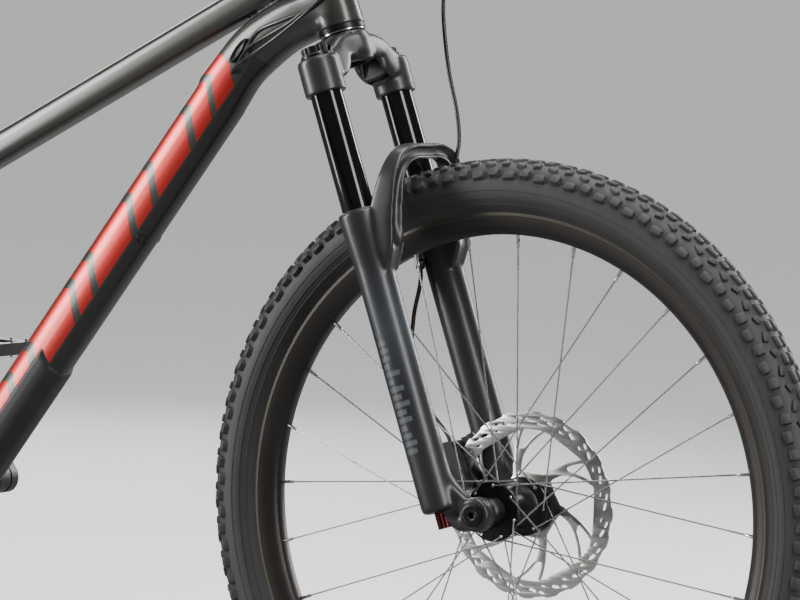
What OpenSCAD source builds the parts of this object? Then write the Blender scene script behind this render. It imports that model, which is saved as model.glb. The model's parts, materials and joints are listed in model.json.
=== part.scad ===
// Hardtail mountain bike with a suspension fork.
// +X forward, +Y left, +Z up, origin on the ground midway between the wheels. Millimetres.

/* [Wheels] */
// Radius to the top of the tyre knobs
tyre_r = 375; // [372:1:376]
// Width of the tyre
tyre_w = 62; // [56:1:63]
// Radius of the rim's outer flange
rim_r = 317.5; // [316:0.5:318]
// Radius of the rim's inner edge
rim_in_r = 293; // [290:1:296]
// Width of the rim
rim_w = 35; // [30:1:36]
// Spokes in each wheel
spoke_count = 28; // [28:4:32]
// Diameter of a spoke
spoke_d = 2; // [1.8:0.1:2.1]
// Radius of the front brake rotor
rotor_front_r = 101.5; // [100:0.5:102]
// Radius of the rear brake rotor
rotor_rear_r = 90; // [80:1:91]

/* [Frame] */
// Distance between the axles
wheelbase = 1178; // [1170:1:1190]
// Height of the bottom bracket
bb_z = 330; // [326:1:334]
// Distance from the front axle back to the bottom bracket
front_centre = 745; // [740:1:750]
// Angle of the steering axis from the vertical
head_lean = 20.7; // [20.4:0.1:21]
// Angle of the seat tube from the vertical
seat_lean = 16.5; // [16:0.1:17]
// Length of the seat tube
seat_tube_l = 385; // [380:1:390]
// Outer radius of the seat tube
seat_tube_r = 17.5; // [17.2:0.1:18]
// Length of the head tube
head_tube_l = 108; // [106:1:110]
// Outer radius of the head tube
head_tube_r = 26.5; // [26:0.1:27]

/* [Fork] */
// Axle ahead of the steering axis
fork_offset = 42; // [41:1:43]
// Leg axis behind the axle
leg_back = 39; // [38:1:40]
// Half the distance between the legs
leg_y = 70; // [69:0.5:71]
// Radius of a stanchion
stanchion_r = 17.5; // [17:0.1:17.6]
// Outer radius of a lower leg
lower_r = 20.8; // [20.4:0.1:21]
// Top of the lower legs above the axle
lower_top = 345; // [340:1:346]
// Bottom of the crown clamps above the axle
crown_low = 478; // [477:1:480]
// Top of the crown at the steerer
crown_top = 546; // [545:1:547]

/* [Controls] */
// Half the width of the handlebar
bar_half = 388; // [370:1:395]
// Radius of the handlebar at the stem
bar_clamp_r = 15.9; // [15.8:0.05:16]
// Radius of the handlebar at the grips
bar_r = 11.1; // [11:0.05:11.2]
// Backward sweep of the bar ends
bar_sweep = 7.5; // [6:0.5:9]
// Length of a grip
grip_l = 130; // [120:1:135]
// Downward tilt of the brake levers from the fork's square
lever_tilt = 46; // [40:1:50]

/* [Drive] */
// Crank length
crank_l = 175; // [165:1:175]
// How far the cranks are turned at rest, in degrees: right arm forward and down
crank_turn = 56; // [0:1:359]
// Teeth on the chainring
ring_teeth = 32; // [30:1:34]
// Teeth on the sprocket that carries the chain
cog_teeth = 24; // [24:1:24]
// Teeth on a jockey wheel
jockey_teeth = 12; // [12:1:12]
// Distance of the chain from the middle of the bike
chain_line = 50; // [50:0.1:50.4]

/* [Seat] */
// Outer radius of the dropper post
post_r = 15.45; // [15.4:0.01:15.45]
// Outer radius of the sliding tube
post_inner_r = 12.5; // [12.4:0.1:12.6]

/* [Hidden] */
$fn = 48;

axle_z = tyre_r;
front_x = wheelbase / 2;
rear_x = -wheelbase / 2;
bb_x = front_x - front_centre;

run_gap = 0.05;                // radial gap of a turning or sliding fit
pitch = 12.7;                  // chain pitch

frame_grey = "#3c3d3a";
satin_black = "#1b1b1d";
gloss_black = "#0e0e10";
rubber_black = "#202022";
steel_grey = "#b9b9b6";

head_low = 555;                // lower end of the head tube above the front axle
head_top = head_low + head_tube_l;
stem_low = head_top + 19;
stem_h = 40;
stem_reach = 45;
bar_up = stem_low + stem_h / 2;
bar_fwd = stem_reach - fork_offset;

down_lean = 36.87;             // down tube from the vertical
top_lean = 62.2;               // top tube from the vertical
top_foot = 335;                // top tube's foot along the seat tube
top_l = 649;

fork_width = 110;              // between the front dropouts
rear_width = 148;              // between the rear dropouts
axle_r = 7.5;
rear_axle_r = 6;

post_top = 440;                // collar of the dropper post along the seat tube
inner_top = 604;

// Drive centres in the side plane
chain_r = [for (t = [cog_teeth, ring_teeth, jockey_teeth]) pitch / 2 / sin(180 / t)];
cog_at = [rear_x, axle_z];
ring_at = [bb_x, bb_z];
guide_at = [rear_x - 5, axle_z - 135];
tension_at = [rear_x + 27, axle_z - 217];
cassette_teeth = [51, 45, 39, 33, 28, 24, 21, 18, 16, 14, 12, 10];
cog_step = 3.4;
cog_first = -chain_line + 5 * cog_step;

// ---------- shared functions and shapes ----------

function unit(v) = v / norm(v);

function curve_at(a, b, c, d, t) =
  0.5 * (2 * b + (c - a) * t + (2 * a - 5 * b + 4 * c - d) * t * t
  + (3 * b - a - 3 * c + d) * t * t * t);

// A smooth route through hand-placed points
function route(p, steps) = concat(
  [for (i = [0 : len(p) - 2], s = [0 : steps - 1])
    curve_at(p[max(i - 1, 0)], p[i], p[i + 1], p[min(i + 2, len(p) - 1)], s / steps)],
  [p[len(p) - 1]]);

function headings(p) =
  [for (i = [0 : len(p) - 1]) unit(p[min(i + 1, len(p) - 1)] - p[max(i - 1, 0)])];

// A tube of 8 sides along a route
module hose(points, r, steps) {
  sides = 8;
  p = route(points, steps);
  t = headings(p);
  start = unit(cross(t[0], abs(t[0].x) < 0.8 ? [1, 0, 0] : [0, 1, 0]));
  n = [for (i = 0, v = start; i < len(t);
       i = i + 1, v = i < len(t) ? unit(v - (v * t[i]) * t[i]) : v) v];
  rings = [for (i = [0 : len(p) - 1], k = [0 : sides - 1])
    p[i] + r * (cos(k * 360 / sides) * n[i] + sin(k * 360 / sides) * cross(t[i], n[i]))];
  last = (len(p) - 1) * sides;
  walls = [for (i = [0 : len(p) - 2], k = [0 : sides - 1])
    let (a = i * sides + k, b = i * sides + (k + 1) % sides) [a, a + sides, b + sides, b]];
  caps = [[for (k = [0 : sides - 1]) k], [for (k = [sides - 1 : -1 : 0]) last + k]];
  polyhedron(points = rings, faces = concat(walls, caps), convexity = 10);
}

// A straight round bar between two points
module rod(a, b, r) {
  d = b - a;
  translate(a) rotate([0, acos(d.z / norm(d)), atan2(d.y, d.x)]) cylinder(h = norm(d), r = r);
}

// Round bars joined by slightly larger balls
module bent_bar(p, r) {
  for (i = [0 : len(p) - 2]) rod(p[i], p[i + 1], r);
  for (i = [1 : len(p) - 2]) translate(p[i]) sphere(r = r * 1.04);
}

module rounded(w, d, r) {
  square([w - 2 * r, d], center = true);
  square([w, d - 2 * r], center = true);
  for (sx = [-1, 1], sy = [-1, 1]) translate([sx * (w / 2 - r), sy * (d / 2 - r)]) circle(r = r);
}

// Cylinder along Y from y = a to y = b
module cross_cyl(a, b, r) {
  translate([0, b, 0]) rotate([90, 0, 0]) cylinder(h = b - a, r = r);
}

// Plate in the side plane, from y = a to y = b
module side_plate(a, b) {
  translate([0, b, 0]) rotate([90, 0, 0]) linear_extrude(b - a) children();
}

module fork_space() translate([front_x, 0, axle_z]) rotate([0, -head_lean, 0]) children();
module seat_space() translate([bb_x, 0, bb_z]) rotate([0, -seat_lean, 0]) children();
module down_space() translate([bb_x, 0, bb_z]) rotate([0, down_lean, 0]) children();
module top_space() seat_space() translate([0, 0, top_foot]) rotate([0, seat_lean + top_lean, 0]) children();
module steer_space() fork_space() translate([-fork_offset, 0, 0]) children();
module at_rear() translate([rear_x, 0, axle_z]) children();
module at_front() translate([front_x, 0, axle_z]) children();
module at_bb() translate([bb_x, 0, bb_z]) children();

// A control on the left half of the bar: +Y outward, +X towards the levers
grip_in = 140;
control_y = 95;
module control_space(side) {
  fork_space() mirror([0, side < 0 ? 1 : 0, 0]) translate([bar_fwd, grip_in, bar_up + 26])
    rotate([0, 0, bar_sweep]) translate([0, control_y, 0]) rotate([0, lever_tilt, 0]) children();
}

// ---------- frame ----------

module head_tube_outside(extra) {
  steer_space() translate([0, 0, head_low]) cylinder(h = head_tube_l, r = head_tube_r + extra);
}

module head_tube() {
  color(frame_grey) steer_space() difference() {
    translate([0, 0, head_low]) cylinder(h = head_tube_l, r = head_tube_r);
    translate([0, 0, head_low - 1]) cylinder(h = head_tube_l + 2, r = 21);
  }
}

module top_outline() rounded(36, 40, 13);

module top_tube_solid() {
  top_space() linear_extrude(top_l) top_outline();
}

module top_tube() {
  wall = 2.5;
  color(frame_grey) difference() {
    top_tube_solid();
    top_space() translate([0, 0, 30]) linear_extrude(top_l - 90) rounded(36 - 2 * wall, 40 - 2 * wall, 11);
    head_tube_outside(0);
    seat_space() cylinder(h = seat_tube_l, r = seat_tube_r);
  }
}

// Faceted section: flat sides with a crease, narrower below
down_outline = [[-27, -13], [-27, 13], [-15, 25], [5, 26], [24, 17], [33, 9], [33, -9],
  [24, -17], [5, -26], [-15, -25]];

// Side view of the neck that turns the down tube into the head tube
neck = [[176, 822], [228, 878], [296, 917], [340, 937], [352, 880], [322, 869], [294, 853],
  [262, 829], [243, 811], [226, 786]];

module down_tube() {
  color(frame_grey) difference() {
    union() {
      down_space() translate([0, 0, 18]) linear_extrude(592) polygon(down_outline);
      side_plate(-25.5, 25.5) polygon(neck);
    }
    down_space() translate([0, 0, 50]) linear_extrude(530) scale([0.9, 0.9]) polygon(down_outline);
    head_tube_outside(0);
    top_tube_solid();
    at_bb() cross_cyl(-50, 50, 22);
    seat_space() cylinder(h = seat_tube_l, r = seat_tube_r);
    seat_space() translate([-60, -40, -20]) cube([60, 80, 120]);
    for (z = [boss_low, boss_low + 64]) down_space() translate([0, 0, z]) boss_bore();
  }
}

// Bottle cage threads in the upper face
boss_low = 250;
boss_r = 2.1;
module boss_bore() translate([-28, 0, 0]) rotate([0, 90, 0]) cylinder(h = 6, r = boss_r);

module seat_tube() {
  color(frame_grey) difference() {
    seat_space() translate([0, 0, 18]) cylinder(h = seat_tube_l - 18, r = seat_tube_r);
    seat_space() translate([0, 0, 60]) cylinder(h = seat_tube_l, r = post_r + run_gap);
    at_bb() cross_cyl(-50, 50, 22);
  }
}

module bb_shell() {
  color(frame_grey) at_bb() difference() {
    cross_cyl(-36.5, 36.5, 22);
    cross_cyl(-40, 40, 17.4);
  }
}

module dropout() {
  inner = rear_width / 2;
  at_rear() difference() {
    side_plate(inner, inner + 10) union() {
      circle(r = 17);
      polygon([[-8, -15], [34, -18], [52, -10], [52, 8], [30, 16], [42, 32], [26, 42], [-6, 16]]);
    }
    cross_cyl(inner - 1, inner + 11, rear_axle_r);
  }
}

module chainstays() {
  plan = [[-18, 36], [-70, 36], [-245, 50], [-325, 60], [-398, 71], [-398, 88],
    [-325, 77], [-245, 67], [-110, 53], [-80, 48.6], [-18, 48.6]];
  color(frame_grey) for (side = [-1, 1]) mirror([0, side < 0 ? 1 : 0, 0]) {
    difference() {
      at_bb() rotate([0, 6, 0]) translate([0, 0, -8.5]) linear_extrude(17) polygon(plan);
      translate([-549, rear_width / 2, 340]) cube([60, 10, 60]);
      at_bb() cross_cyl(30, 60, 22);
    }
    dropout();
  }
}

module seatstays() {
  stay = [[-238, 14, 640], [-276, 44, 608], [-320, 50, 575], [-556, 79, 406]];
  color(frame_grey) difference() {
    for (side = [-1, 1]) mirror([0, side < 0 ? 1 : 0, 0]) bent_bar(stay, 7.5);
    seat_space() cylinder(h = seat_tube_l, r = seat_tube_r);
    for (side = [-1, 1]) mirror([0, side < 0 ? 1 : 0, 0]) dropout();
    top_tube_solid();
  }
}

// Rubbery guard wrapped under the lower half of the down tube
module downtube_guard() {
  color(gloss_black) difference() {
    down_space() translate([0, 0, 26]) linear_extrude(190) difference() {
      translate([2.5, 0]) scale([1.1, 1.1]) polygon(down_outline);
      polygon(down_outline);
      translate([-60, -50]) square([66, 100]);
    }
    at_bb() cross_cyl(-50, 50, 22);
  }
}

port_up = 652;
module cable_port() {
  color(gloss_black) {
    down_space() translate([-4, -28.5, port_up - 18]) cube([16, 3, 36]);
    down_space() translate([27, -14.6, 400]) rotate([0, 0, -46]) rotate([0, 90, 0]) cylinder(h = 3, r = 6);
  }
}

// Headset races and bottom bracket cups, with the bearings in them
module bearing_cups() {
  color(steel_grey) {
    steer_space() difference() {
      translate([0, 0, crown_top + 1]) cylinder(h = head_low - crown_top - 1, r = 25.8);
      translate([0, 0, crown_top]) cylinder(h = 20, r = 20 + run_gap);
    }
    steer_space() difference() {
      translate([0, 0, head_top]) cylinder(h = 9, r = 22.5);
      translate([0, 0, head_top - 1]) cylinder(h = 12, r = 14.3 + run_gap);
    }
  }
  color(gloss_black) at_bb() for (side = [-1, 1]) mirror([0, side < 0 ? 1 : 0, 0]) difference() {
    union() {
      cross_cyl(24, 36.5, 17.4);
      cross_cyl(36.5, 45.5, 21.5);
    }
    cross_cyl(20, 50, 14.5 + run_gap);
  }
}

module seat_clamp() {
  color(satin_black) seat_space() difference() {
    union() {
      translate([0, 0, seat_tube_l]) cylinder(h = 14, r = 20.5);
      translate([-30, -8, seat_tube_l]) cube([14, 16, 14]);
    }
    translate([0, 0, seat_tube_l - 1]) cylinder(h = 16, r = post_r);
    translate([-40, -1, seat_tube_l - 1]) cube([30, 2, 16]);
  }
}

module seatpost_outer() {
  color(gloss_black) seat_space() difference() {
    union() {
      translate([0, 0, 165]) cylinder(h = post_top - 165, r = post_r);
      translate([0, 0, post_top]) cylinder(h = 13, r = 18);
    }
    translate([0, 0, 160]) cylinder(h = 400, r = post_inner_r + run_gap);
  }
}

// Brake caliper with a slot for the rotor, centred on x = 0, z = 0
module caliper(rotor_y, inner_y, outer_y, l, h) {
  difference() {
    union() {
      side_plate(inner_y, outer_y) rounded(l, h, 9);
      translate([-l / 2 - 5, outer_y - 12, -5]) cube([6, 12, 10]);
    }
    translate([-60, rotor_y - 2.2, -60]) cube([120, 4.4, 120]);
  }
}

rear_rotor_y = 57;
rear_caliper_at = [70, 0, 42];
module rear_caliper() {
  color(satin_black) at_rear() translate(rear_caliper_at) rotate([0, 30, 0])
    caliper(rear_rotor_y, 38, 64, 30, 44);
}

module rear_axle() {
  side = rear_width / 2;
  color(satin_black) at_rear() {
    cross_cyl(-side - 12, side + 10, rear_axle_r);
    cross_cyl(side + 10, side + 15, 10);
  }
}

b_pivot = [-9, -92, -40];
p_pivot = [-9, -92, -112];
// Two ears and a pin through them, along X, for a pivot of the derailleur
module ears(at, low, high) {
  for (x = [-13, 17.5]) translate([at.x + x, at.y - 5, at.z + low]) cube([3.5, 13, high - low]);
  translate([at.x - 13, at.y, at.z]) rotate([0, 90, 0]) cylinder(h = 34, r = 3);
}

module derailleur_hanger() {
  inner = rear_width / 2;
  color(satin_black) at_rear() {
    difference() {
      side_plate(-inner - 18, -inner - 10) union() {
        circle(r = 14);
        polygon([[-14, 0], [14, 0], [12, -32], [-22, -32]]);
      }
      cross_cyl(-inner - 20, -inner - 9, rear_axle_r);
    }
    ears(b_pivot, -5, 9);
  }
}

// Brake hose and two cables from the bar into the frame, and their tails at the back
module control_lines() {
  color(gloss_black) {
    hose(rear_hose_front, 2.5, 6);
    hose(rear_hose_tail, 2.5, 5);
    hose(shift_front, 2.1, 6);
    hose(shift_tail, 2.1, 6);
    hose(dropper_front, 2.1, 6);
  }
}

// Routes, from the bar to the frame
rear_hose_front = [[348, -168, 1048], [352, -142, 1052], [384, -96, 1046], [404, -58, 1004], [392, -46, 948],
  [350, -44, 904], [306, -43, 886], [272, -38, 874], [252, -29.5, 858], [246, -27, 850]];
shift_front = [[340, -166, 1029], [372, -120, 1010], [388, -72, 968], [368, -52, 922],
  [326, -50, 888], [286, -44, 868], [258, -36, 856], [243, -29.5, 844], [238, -27, 838]];
dropper_front = [[345, 166, 1029], [388, 116, 1016], [404, 40, 996], [398, -28, 958],
  [364, -54, 912], [318, -54, 876], [276, -46, 852], [246, -35, 838], [233, -29.5, 830], [229, -27, 825]];
rear_hose_tail = [[-300, 62, 356], [-350, 78, 366], [-420, 84, 388], [-470, 78, 412], [-498, 66, 424]];
shift_tail = [[-500, -90, 384], [-560, -97, 396], [-612, -99, 400], [-644, -97, 374],
  [-640, -93, 346], [-622, -90, 335]];

// ---------- chain ----------

// Loop round sprockets, in running order; a negative radius turns the other way
loop = [[cog_at, chain_r[0]], [ring_at, chain_r[1]], [tension_at, chain_r[2]], [guide_at, -chain_r[2]]];

function leave_angle(a, b) = let (d = b[0] - a[0])
  atan2(d.y, d.x) + acos((a[1] - b[1]) / norm(d));

function wrap_down(from, to) =
  to > from ? wrap_down(from, to - 360)
  : from - to >= 360 ? wrap_down(from, to + 360)
  : to;
function wrap_up(from, to) =
  to < from ? wrap_up(from, to + 360)
  : to - from >= 360 ? wrap_up(from, to - 360)
  : to;

function loop_line(offset) = [for (i = [0 : len(loop) - 1])
  let (now = loop[i], before = loop[(i + len(loop) - 1) % len(loop)], after = loop[(i + 1) % len(loop)],
    a = leave_angle(before, now), raw = leave_angle(now, after),
    b = now[1] > 0 ? wrap_down(a, raw) : wrap_up(a, raw), n = max(3, ceil(abs(b - a) / 10)))
  for (k = [0 : n]) let (q = a + (b - a) * k / n) now[0] + (now[1] + offset) * [cos(q), sin(q)]];

module chain() {
  plate_in = 1.3;
  plate_t = 1;
  color(steel_grey) for (y = [-chain_line - plate_in - plate_t, -chain_line + plate_in])
    side_plate(y, y + plate_t) difference() {
      polygon(loop_line(4));
      polygon(loop_line(-4));
    }
}

// ---------- fork, upper ----------

module crown_steerer() {
  color(satin_black) fork_space() {
    difference() {
      union() {
        translate([-leg_back + 22, 0, 0]) rotate([0, -90, 0]) linear_extrude(44) crown_outline();
        for (s = [-1, 1]) translate([-leg_back, s * leg_y, crown_low]) cylinder(h = 40, r = 22.5);
        translate([-fork_offset, 0, crown_top - 31]) cylinder(h = 31, r = 28);
      }
      for (s = [-1, 1]) translate([-leg_back, s * leg_y, crown_low - 1]) cylinder(h = 60, r = stanchion_r);
      translate([-fork_offset, 0, crown_top - 40]) cylinder(h = 41, r = 16);
    }
    translate([-fork_offset, 0, 0]) difference() {
      union() {
        translate([0, 0, crown_top - 24]) cylinder(h = 24, r = 16);
        translate([0, 0, crown_top]) cylinder(h = 26, r = 20);
        translate([0, 0, crown_top + 26]) cylinder(h = 10, r1 = 20, r2 = 14.3);
        translate([0, 0, crown_top + 36]) cylinder(h = stem_low + stem_h - 1 - crown_top - 36, r = 14.3);
      }
      translate([0, 0, crown_top - 30]) cylinder(h = 260, r = 12);
    }
  }
}

// Front view of the crown, drawn with its height along x
module crown_outline() {
  half = [[crown_top - 31, 0], [crown_top - 31, 38], [492, 50], [490, 70],
    [516, 72], [530, 56], [crown_top - 3, 30], [crown_top, 0]];
  for (s = [-1, 1]) polygon([for (p = half) [p.x, s * p.y]]);
}

module stanchions() {
  color(gloss_black) fork_space() for (s = [-1, 1]) translate([-leg_back, s * leg_y, 0]) {
    difference() {
      translate([0, 0, 192]) cylinder(h = crown_low + 40 - 192, r = stanchion_r);
      translate([0, 0, 190]) cylinder(h = crown_low + 34 - 190, r = stanchion_r - 2.5);
    }
    translate([0, 0, crown_low + 40]) cylinder(h = 4, r = 17);
    if (s > 0) translate([0, 0, crown_low + 44]) cylinder(h = 8, r = 13.5);
  }
}

module compression_knob() {
  color(satin_black) fork_space() translate([-leg_back, -leg_y, crown_low + 44.3]) difference() {
    cylinder(h = 8, r = 15);
    for (a = [0 : 45 : 315]) rotate(a) translate([16.5, 0, -1]) cylinder(h = 10, r = 3);
  }
}

module stem() {
  split = 1.2;
  color(satin_black) fork_space() {
    difference() {
      union() {
        translate([-fork_offset, 0, stem_low]) cylinder(h = stem_h, r = 19);
        translate([-fork_offset, -16, stem_low + 3]) cube([stem_reach, 32, stem_h - 6]);
        translate([bar_fwd, 0, bar_up]) cross_cyl(-25, 25, 22);
      }
      translate([-fork_offset, 0, stem_low - 1]) cylinder(h = stem_h + 2, r = 14.3);
      translate([bar_fwd, 0, bar_up]) cross_cyl(-40, 40, bar_clamp_r);
      translate([bar_fwd + 1, -30, bar_up - 40]) cube([split, 60, 80]);
      translate([-fork_offset - 30, -1, stem_low - 1]) cube([24, 2, stem_h + 2]);
    }
    for (s = [-1, 1], v = [-1, 1]) translate([bar_fwd + 18, s * 17, bar_up + v * 18.6])
      rotate([0, 90, 0]) cylinder(h = 8, r = 3.5);
  }
}

module headset_spacers() {
  color(satin_black) steer_space() {
    for (z = [head_top + 9.3, head_top + 14.3]) translate([0, 0, z]) difference() {
      cylinder(h = 4.7, r = 17);
      translate([0, 0, -1]) cylinder(h = 8, r = 14.3);
    }
    translate([0, 0, stem_low + stem_h]) cylinder(h = 4, r = 17);
  }
}

bar_end = [bar_fwd, grip_in, bar_up + 26];
function bar_point(l) = bar_end + l * [-sin(bar_sweep), cos(bar_sweep), 0];
bar_outer_l = (bar_half - 4 - grip_in) / cos(bar_sweep);

module bar_rise() {
  foot = [bar_fwd, 60, bar_up];
  rod(foot, bar_end, bar_r);
  translate(foot) sphere(r = bar_r + 0.4);
  translate(bar_end) sphere(r = bar_r + 0.2);
  rod(bar_end, bar_point(bar_outer_l), bar_r);
}

module handlebar() {
  color(satin_black) fork_space() {
    translate([bar_fwd, 0, bar_up]) cross_cyl(-48, 48, bar_clamp_r);
    for (s = [0, 1]) mirror([0, s, 0]) {
      translate([bar_fwd, 48, bar_up]) rotate([-90, 0, 0]) cylinder(h = 14, r1 = bar_clamp_r, r2 = bar_r);
      bar_rise();
    }
  }
}

module grips() {
  color(rubber_black) fork_space() for (s = [0, 1]) mirror([0, s, 0]) difference() {
    union() {
      rod(bar_point(bar_outer_l - grip_l), bar_point(bar_outer_l + 4), 16);
      rod(bar_point(bar_outer_l - grip_l), bar_point(bar_outer_l - grip_l + 12), 18);
    }
    rod(bar_point(bar_outer_l - grip_l - 5), bar_point(bar_outer_l), bar_r);
  }
}

// Clamp and cylinder of each brake lever; the blade turns on its pivot
blade_pivot = [32, -2, 0];
module brake_masters() {
  color(satin_black) for (side = [-1, 1]) control_space(side) {
    difference() {
      union() {
        cross_cyl(-10, 8, 16);
        translate([10, -12, -8]) cube([14, 20, 16]);
        translate([18, 0, 0]) cross_cyl(-66, 4, 8.5);
        translate([blade_pivot.x, blade_pivot.y, -8]) cylinder(h = 16, r = 7);
      }
      cross_cyl(-30, 30, bar_r);
      cross_cyl(-70, -10.4, bar_r + 0.4);
      translate([blade_pivot.x - 12, blade_pivot.y - 12, -3.6]) cube([40, 40, 7.2]);
    }
    translate([blade_pivot.x, blade_pivot.y, -8]) cylinder(h = 16, r = 2.5);
  }
}

module brake_blade(side) {
  color(satin_black) control_space(side) difference() {
    union() {
      translate([blade_pivot.x, blade_pivot.y, -3.3]) cylinder(h = 6.6, r = 6);
      translate([0, 0, -3.3]) linear_extrude(6.6)
        polygon([[27, -2], [37, -8], [44, 4], [52, 22], [55, 50], [56, 84], [62, 92], [58, 97],
          [50, 90], [48, 50], [45, 26], [38, 10], [30, 4]]);
    }
    translate([blade_pivot.x, blade_pivot.y, -5]) cylinder(h = 10, r = 2.5 + run_gap);
  }
}
module brake_blade_left() brake_blade(1);
module brake_blade_right() brake_blade(-1);

// Shifter on the right, seat post remote on the left, both below the bar
pod_pivot = [20, -40, -22];
module shifter_pods() {
  color(gloss_black) for (side = [-1, 1]) control_space(side) {
    difference() {
      union() {
        translate([0, -30, 0]) cross_cyl(-5, 5, 15);
        translate([-4, -36, -17]) cube([20, 12, 10]);
        translate([pod_pivot.x, pod_pivot.y + 4, -18]) cylinder(h = 8, r = 17);
      }
      translate([0, -40, 0]) cross_cyl(-20, 30, bar_r);
      translate([18, -80, 0]) cross_cyl(-20, 120, 9);
    }
    translate([pod_pivot.x, pod_pivot.y, pod_pivot.z - 12]) cylinder(h = 16, r = 3);
  }
}

module paddle(z, reach, turn) {
  translate([pod_pivot.x, pod_pivot.y, pod_pivot.z + z]) rotate(turn) difference() {
    union() {
      cylinder(h = 4, r = 8);
      translate([-7, 0, 0]) linear_extrude(4)
        polygon([[0, 0], [12, 0], [10, reach - 12], [3, reach], [-8, reach - 2], [-4, reach - 14]]);
    }
    translate([0, 0, -1]) cylinder(h = 6, r = 3 + run_gap);
  }
}
module shift_paddle_main() color(satin_black) control_space(-1) paddle(-5, 44, 14);
module shift_paddle_release() color(satin_black) control_space(-1) paddle(-0.6, 34, -32);
module dropper_paddle() color(satin_black) control_space(1) paddle(-5, 46, 10);

// Front hose: from the left lever in front of the crown, down inside the left leg to the caliper
front_hose = [[348, 168, 1048], [354, 142, 1052], [392, 110, 1050], [430, 80, 1010], [444, 66, 950],
  [446, 61, 900], [456, 60, 840], [470, 57, 796], [479, 50, 766], [479.5, 45, 746],
  [473.5, 42.3, 728], [458, 43, 704], [438, 43.4, 672], [436, 48, 632], [430, 60, 604],
  [418, 68, 564], [420, 66, 516], [446, 58, 470], [474, 52, 444], [482, 50, 434]];
module front_brake_hose() {
  color(gloss_black) hose(front_hose, 2.4, 4);
}

// ---------- fork, lower ----------

// Half of the arch seen from the front, outer edge first, then the inner edge
arch_lean = 22;
arch_half = [[54, -6], [54, 40], [46, 76], [34, 84], [0, 84],
  [0, 100], [52, 100], [66, 90], [76, 50], [80, -6]];

module fork_lowers() {
  color(satin_black) fork_space() {
    difference() {
      union() {
        for (s = [-1, 1]) {
          translate([-leg_back, s * leg_y, 14]) cylinder(h = lower_top - 14, r = lower_r);
          translate([-leg_back, s * leg_y, lower_top - 40]) cylinder(h = 40, r = 23);
          mirror([0, s < 0 ? 1 : 0, 0]) side_plate(fork_width / 2, fork_width / 2 + 20)
            polygon([[-leg_back - 12, 70], [-leg_back - 16, 14], [-30, -2], [-14, -16], [0, -19], [14, -14],
              [19, 0], [14, 13], [0, 19], [-18, 34], [-26, 70]]);
        }
        translate([-18, 0, 310]) rotate([0, arch_lean, 0]) translate([-9, 0, 0]) rotate([90, 0, 90])
          linear_extrude(18) for (s = [-1, 1]) polygon([for (p = arch_half) [s * p.x, p.y]]);
      }
      for (s = [-1, 1]) translate([-leg_back, s * leg_y, 45]) cylinder(h = 400, r = stanchion_r + run_gap);
      for (s = [-1, 1]) translate([-leg_back, s * leg_y, 20]) cylinder(h = 40, r = 5);
      translate([-leg_back, -leg_y, -30]) cylinder(h = 44.3, r = 8.4);
      cross_cyl(-100, 100, axle_r);
    }
    translate([-leg_back, leg_y, 8]) cylinder(h = 6, r = 9);
  }
}

module dust_seals() {
  color(gloss_black) fork_space() for (s = [-1, 1])
    translate([-leg_back, s * leg_y, lower_top]) difference() {
    union() {
      cylinder(h = 1.2, r = 22.4);
    }
    translate([0, 0, -1]) cylinder(h = 4, r = stanchion_r + run_gap);
  }
}

// Damper and air spring shafts, fixed to the feet
module damper_rods() {
  color(steel_grey) fork_space() for (s = [-1, 1]) translate([-leg_back, s * leg_y, 20]) {
    cylinder(h = 284, r = 5);
    translate([0, 0, 284]) cylinder(h = 14, r = stanchion_r - 2.5 - run_gap);
  }
}

module front_axle() {
  color(satin_black) at_front() difference() {
    union() {
      cross_cyl(-75, 76, axle_r);
      cross_cyl(-79, -75, 12);
    }
    cross_cyl(-81, -60, 3);
  }
}

front_rotor_y = 45;
front_caliper_at = [-79, 0, 62];
module front_caliper() {
  color(satin_black) fork_space() difference() {
    union() {
      translate(front_caliper_at) rotate([0, -8, 0]) caliper(front_rotor_y, 29, 66, 34, 58);
      for (z = [36, 88]) translate([-66, 52, z - 5]) cube([14, 10, 10]);
    }
    translate([-160, front_rotor_y - 2.2, -60]) cube([220, 4.4, 220]);
    translate([-leg_back, leg_y, 0]) cylinder(h = 200, r = lower_r);
  }
}

module rebound_knob() {
  color("#8a1f1c") fork_space() translate([-leg_back, -leg_y, -4]) difference() {
    cylinder(h = 17.7, r = 8);
    for (a = [0 : 60 : 300]) rotate(a) translate([9.5, 0, -1]) cylinder(h = 20, r = 2.5);
  }
}

// ---------- wheels ----------

module tyre() {
  r = tyre_w / 2;
  wall = 4;
  rotate([90, 0, 0]) rotate_extrude($fn = 96) difference() {
    translate([tyre_r - r, 0]) circle(r = r);
    translate([tyre_r - r, 0]) circle(r = r - wall);
    translate([0, -r - 1]) square([rim_r, 2 * r + 2]);
  }
}

module rim() {
  half = rim_w / 2;
  rotate([90, 0, 0]) rotate_extrude($fn = 96) difference() {
    polygon([[rim_in_r, -7], [rim_in_r, 7], [300, half - 2], [rim_r - 6, half], [rim_r, half],
      [rim_r, -half], [rim_r - 6, -half], [300, -half + 2]]);
    translate([306, -half + 3]) square([20, rim_w - 6]);
    translate([297, -10]) square([6, 20]);
  }
}

// Three-cross lacing: flange_l and flange_r are the flanges' places along Y
module spokes(flange_left, flange_right, flange_rad) {
  per_side = spoke_count / 2;
  step = 360 / per_side;
  for (side = [0, 1], m = [0 : per_side - 1]) {
    lead = m % 2 == 0 ? 1 : -1;
    rim_a = step * (m + side / 2);
    hub_a = rim_a + lead * 3 * step;
    y = side == 0 ? flange_left : flange_right;
    out = (side == 0 ? 1 : -1) * lead * 2.6;
    a = [flange_rad * cos(hub_a), y + out, flange_rad * sin(hub_a)];
    b = [(rim_in_r + 2) * cos(rim_a), (side == 0 ? 3 : -3), (rim_in_r + 2) * sin(rim_a)];
    n = a + (b - a) * (1 - 16 / norm(b - a));
    rod(a, b, spoke_d / 2);
    rod(n, b, 2);
  }
}

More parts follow.
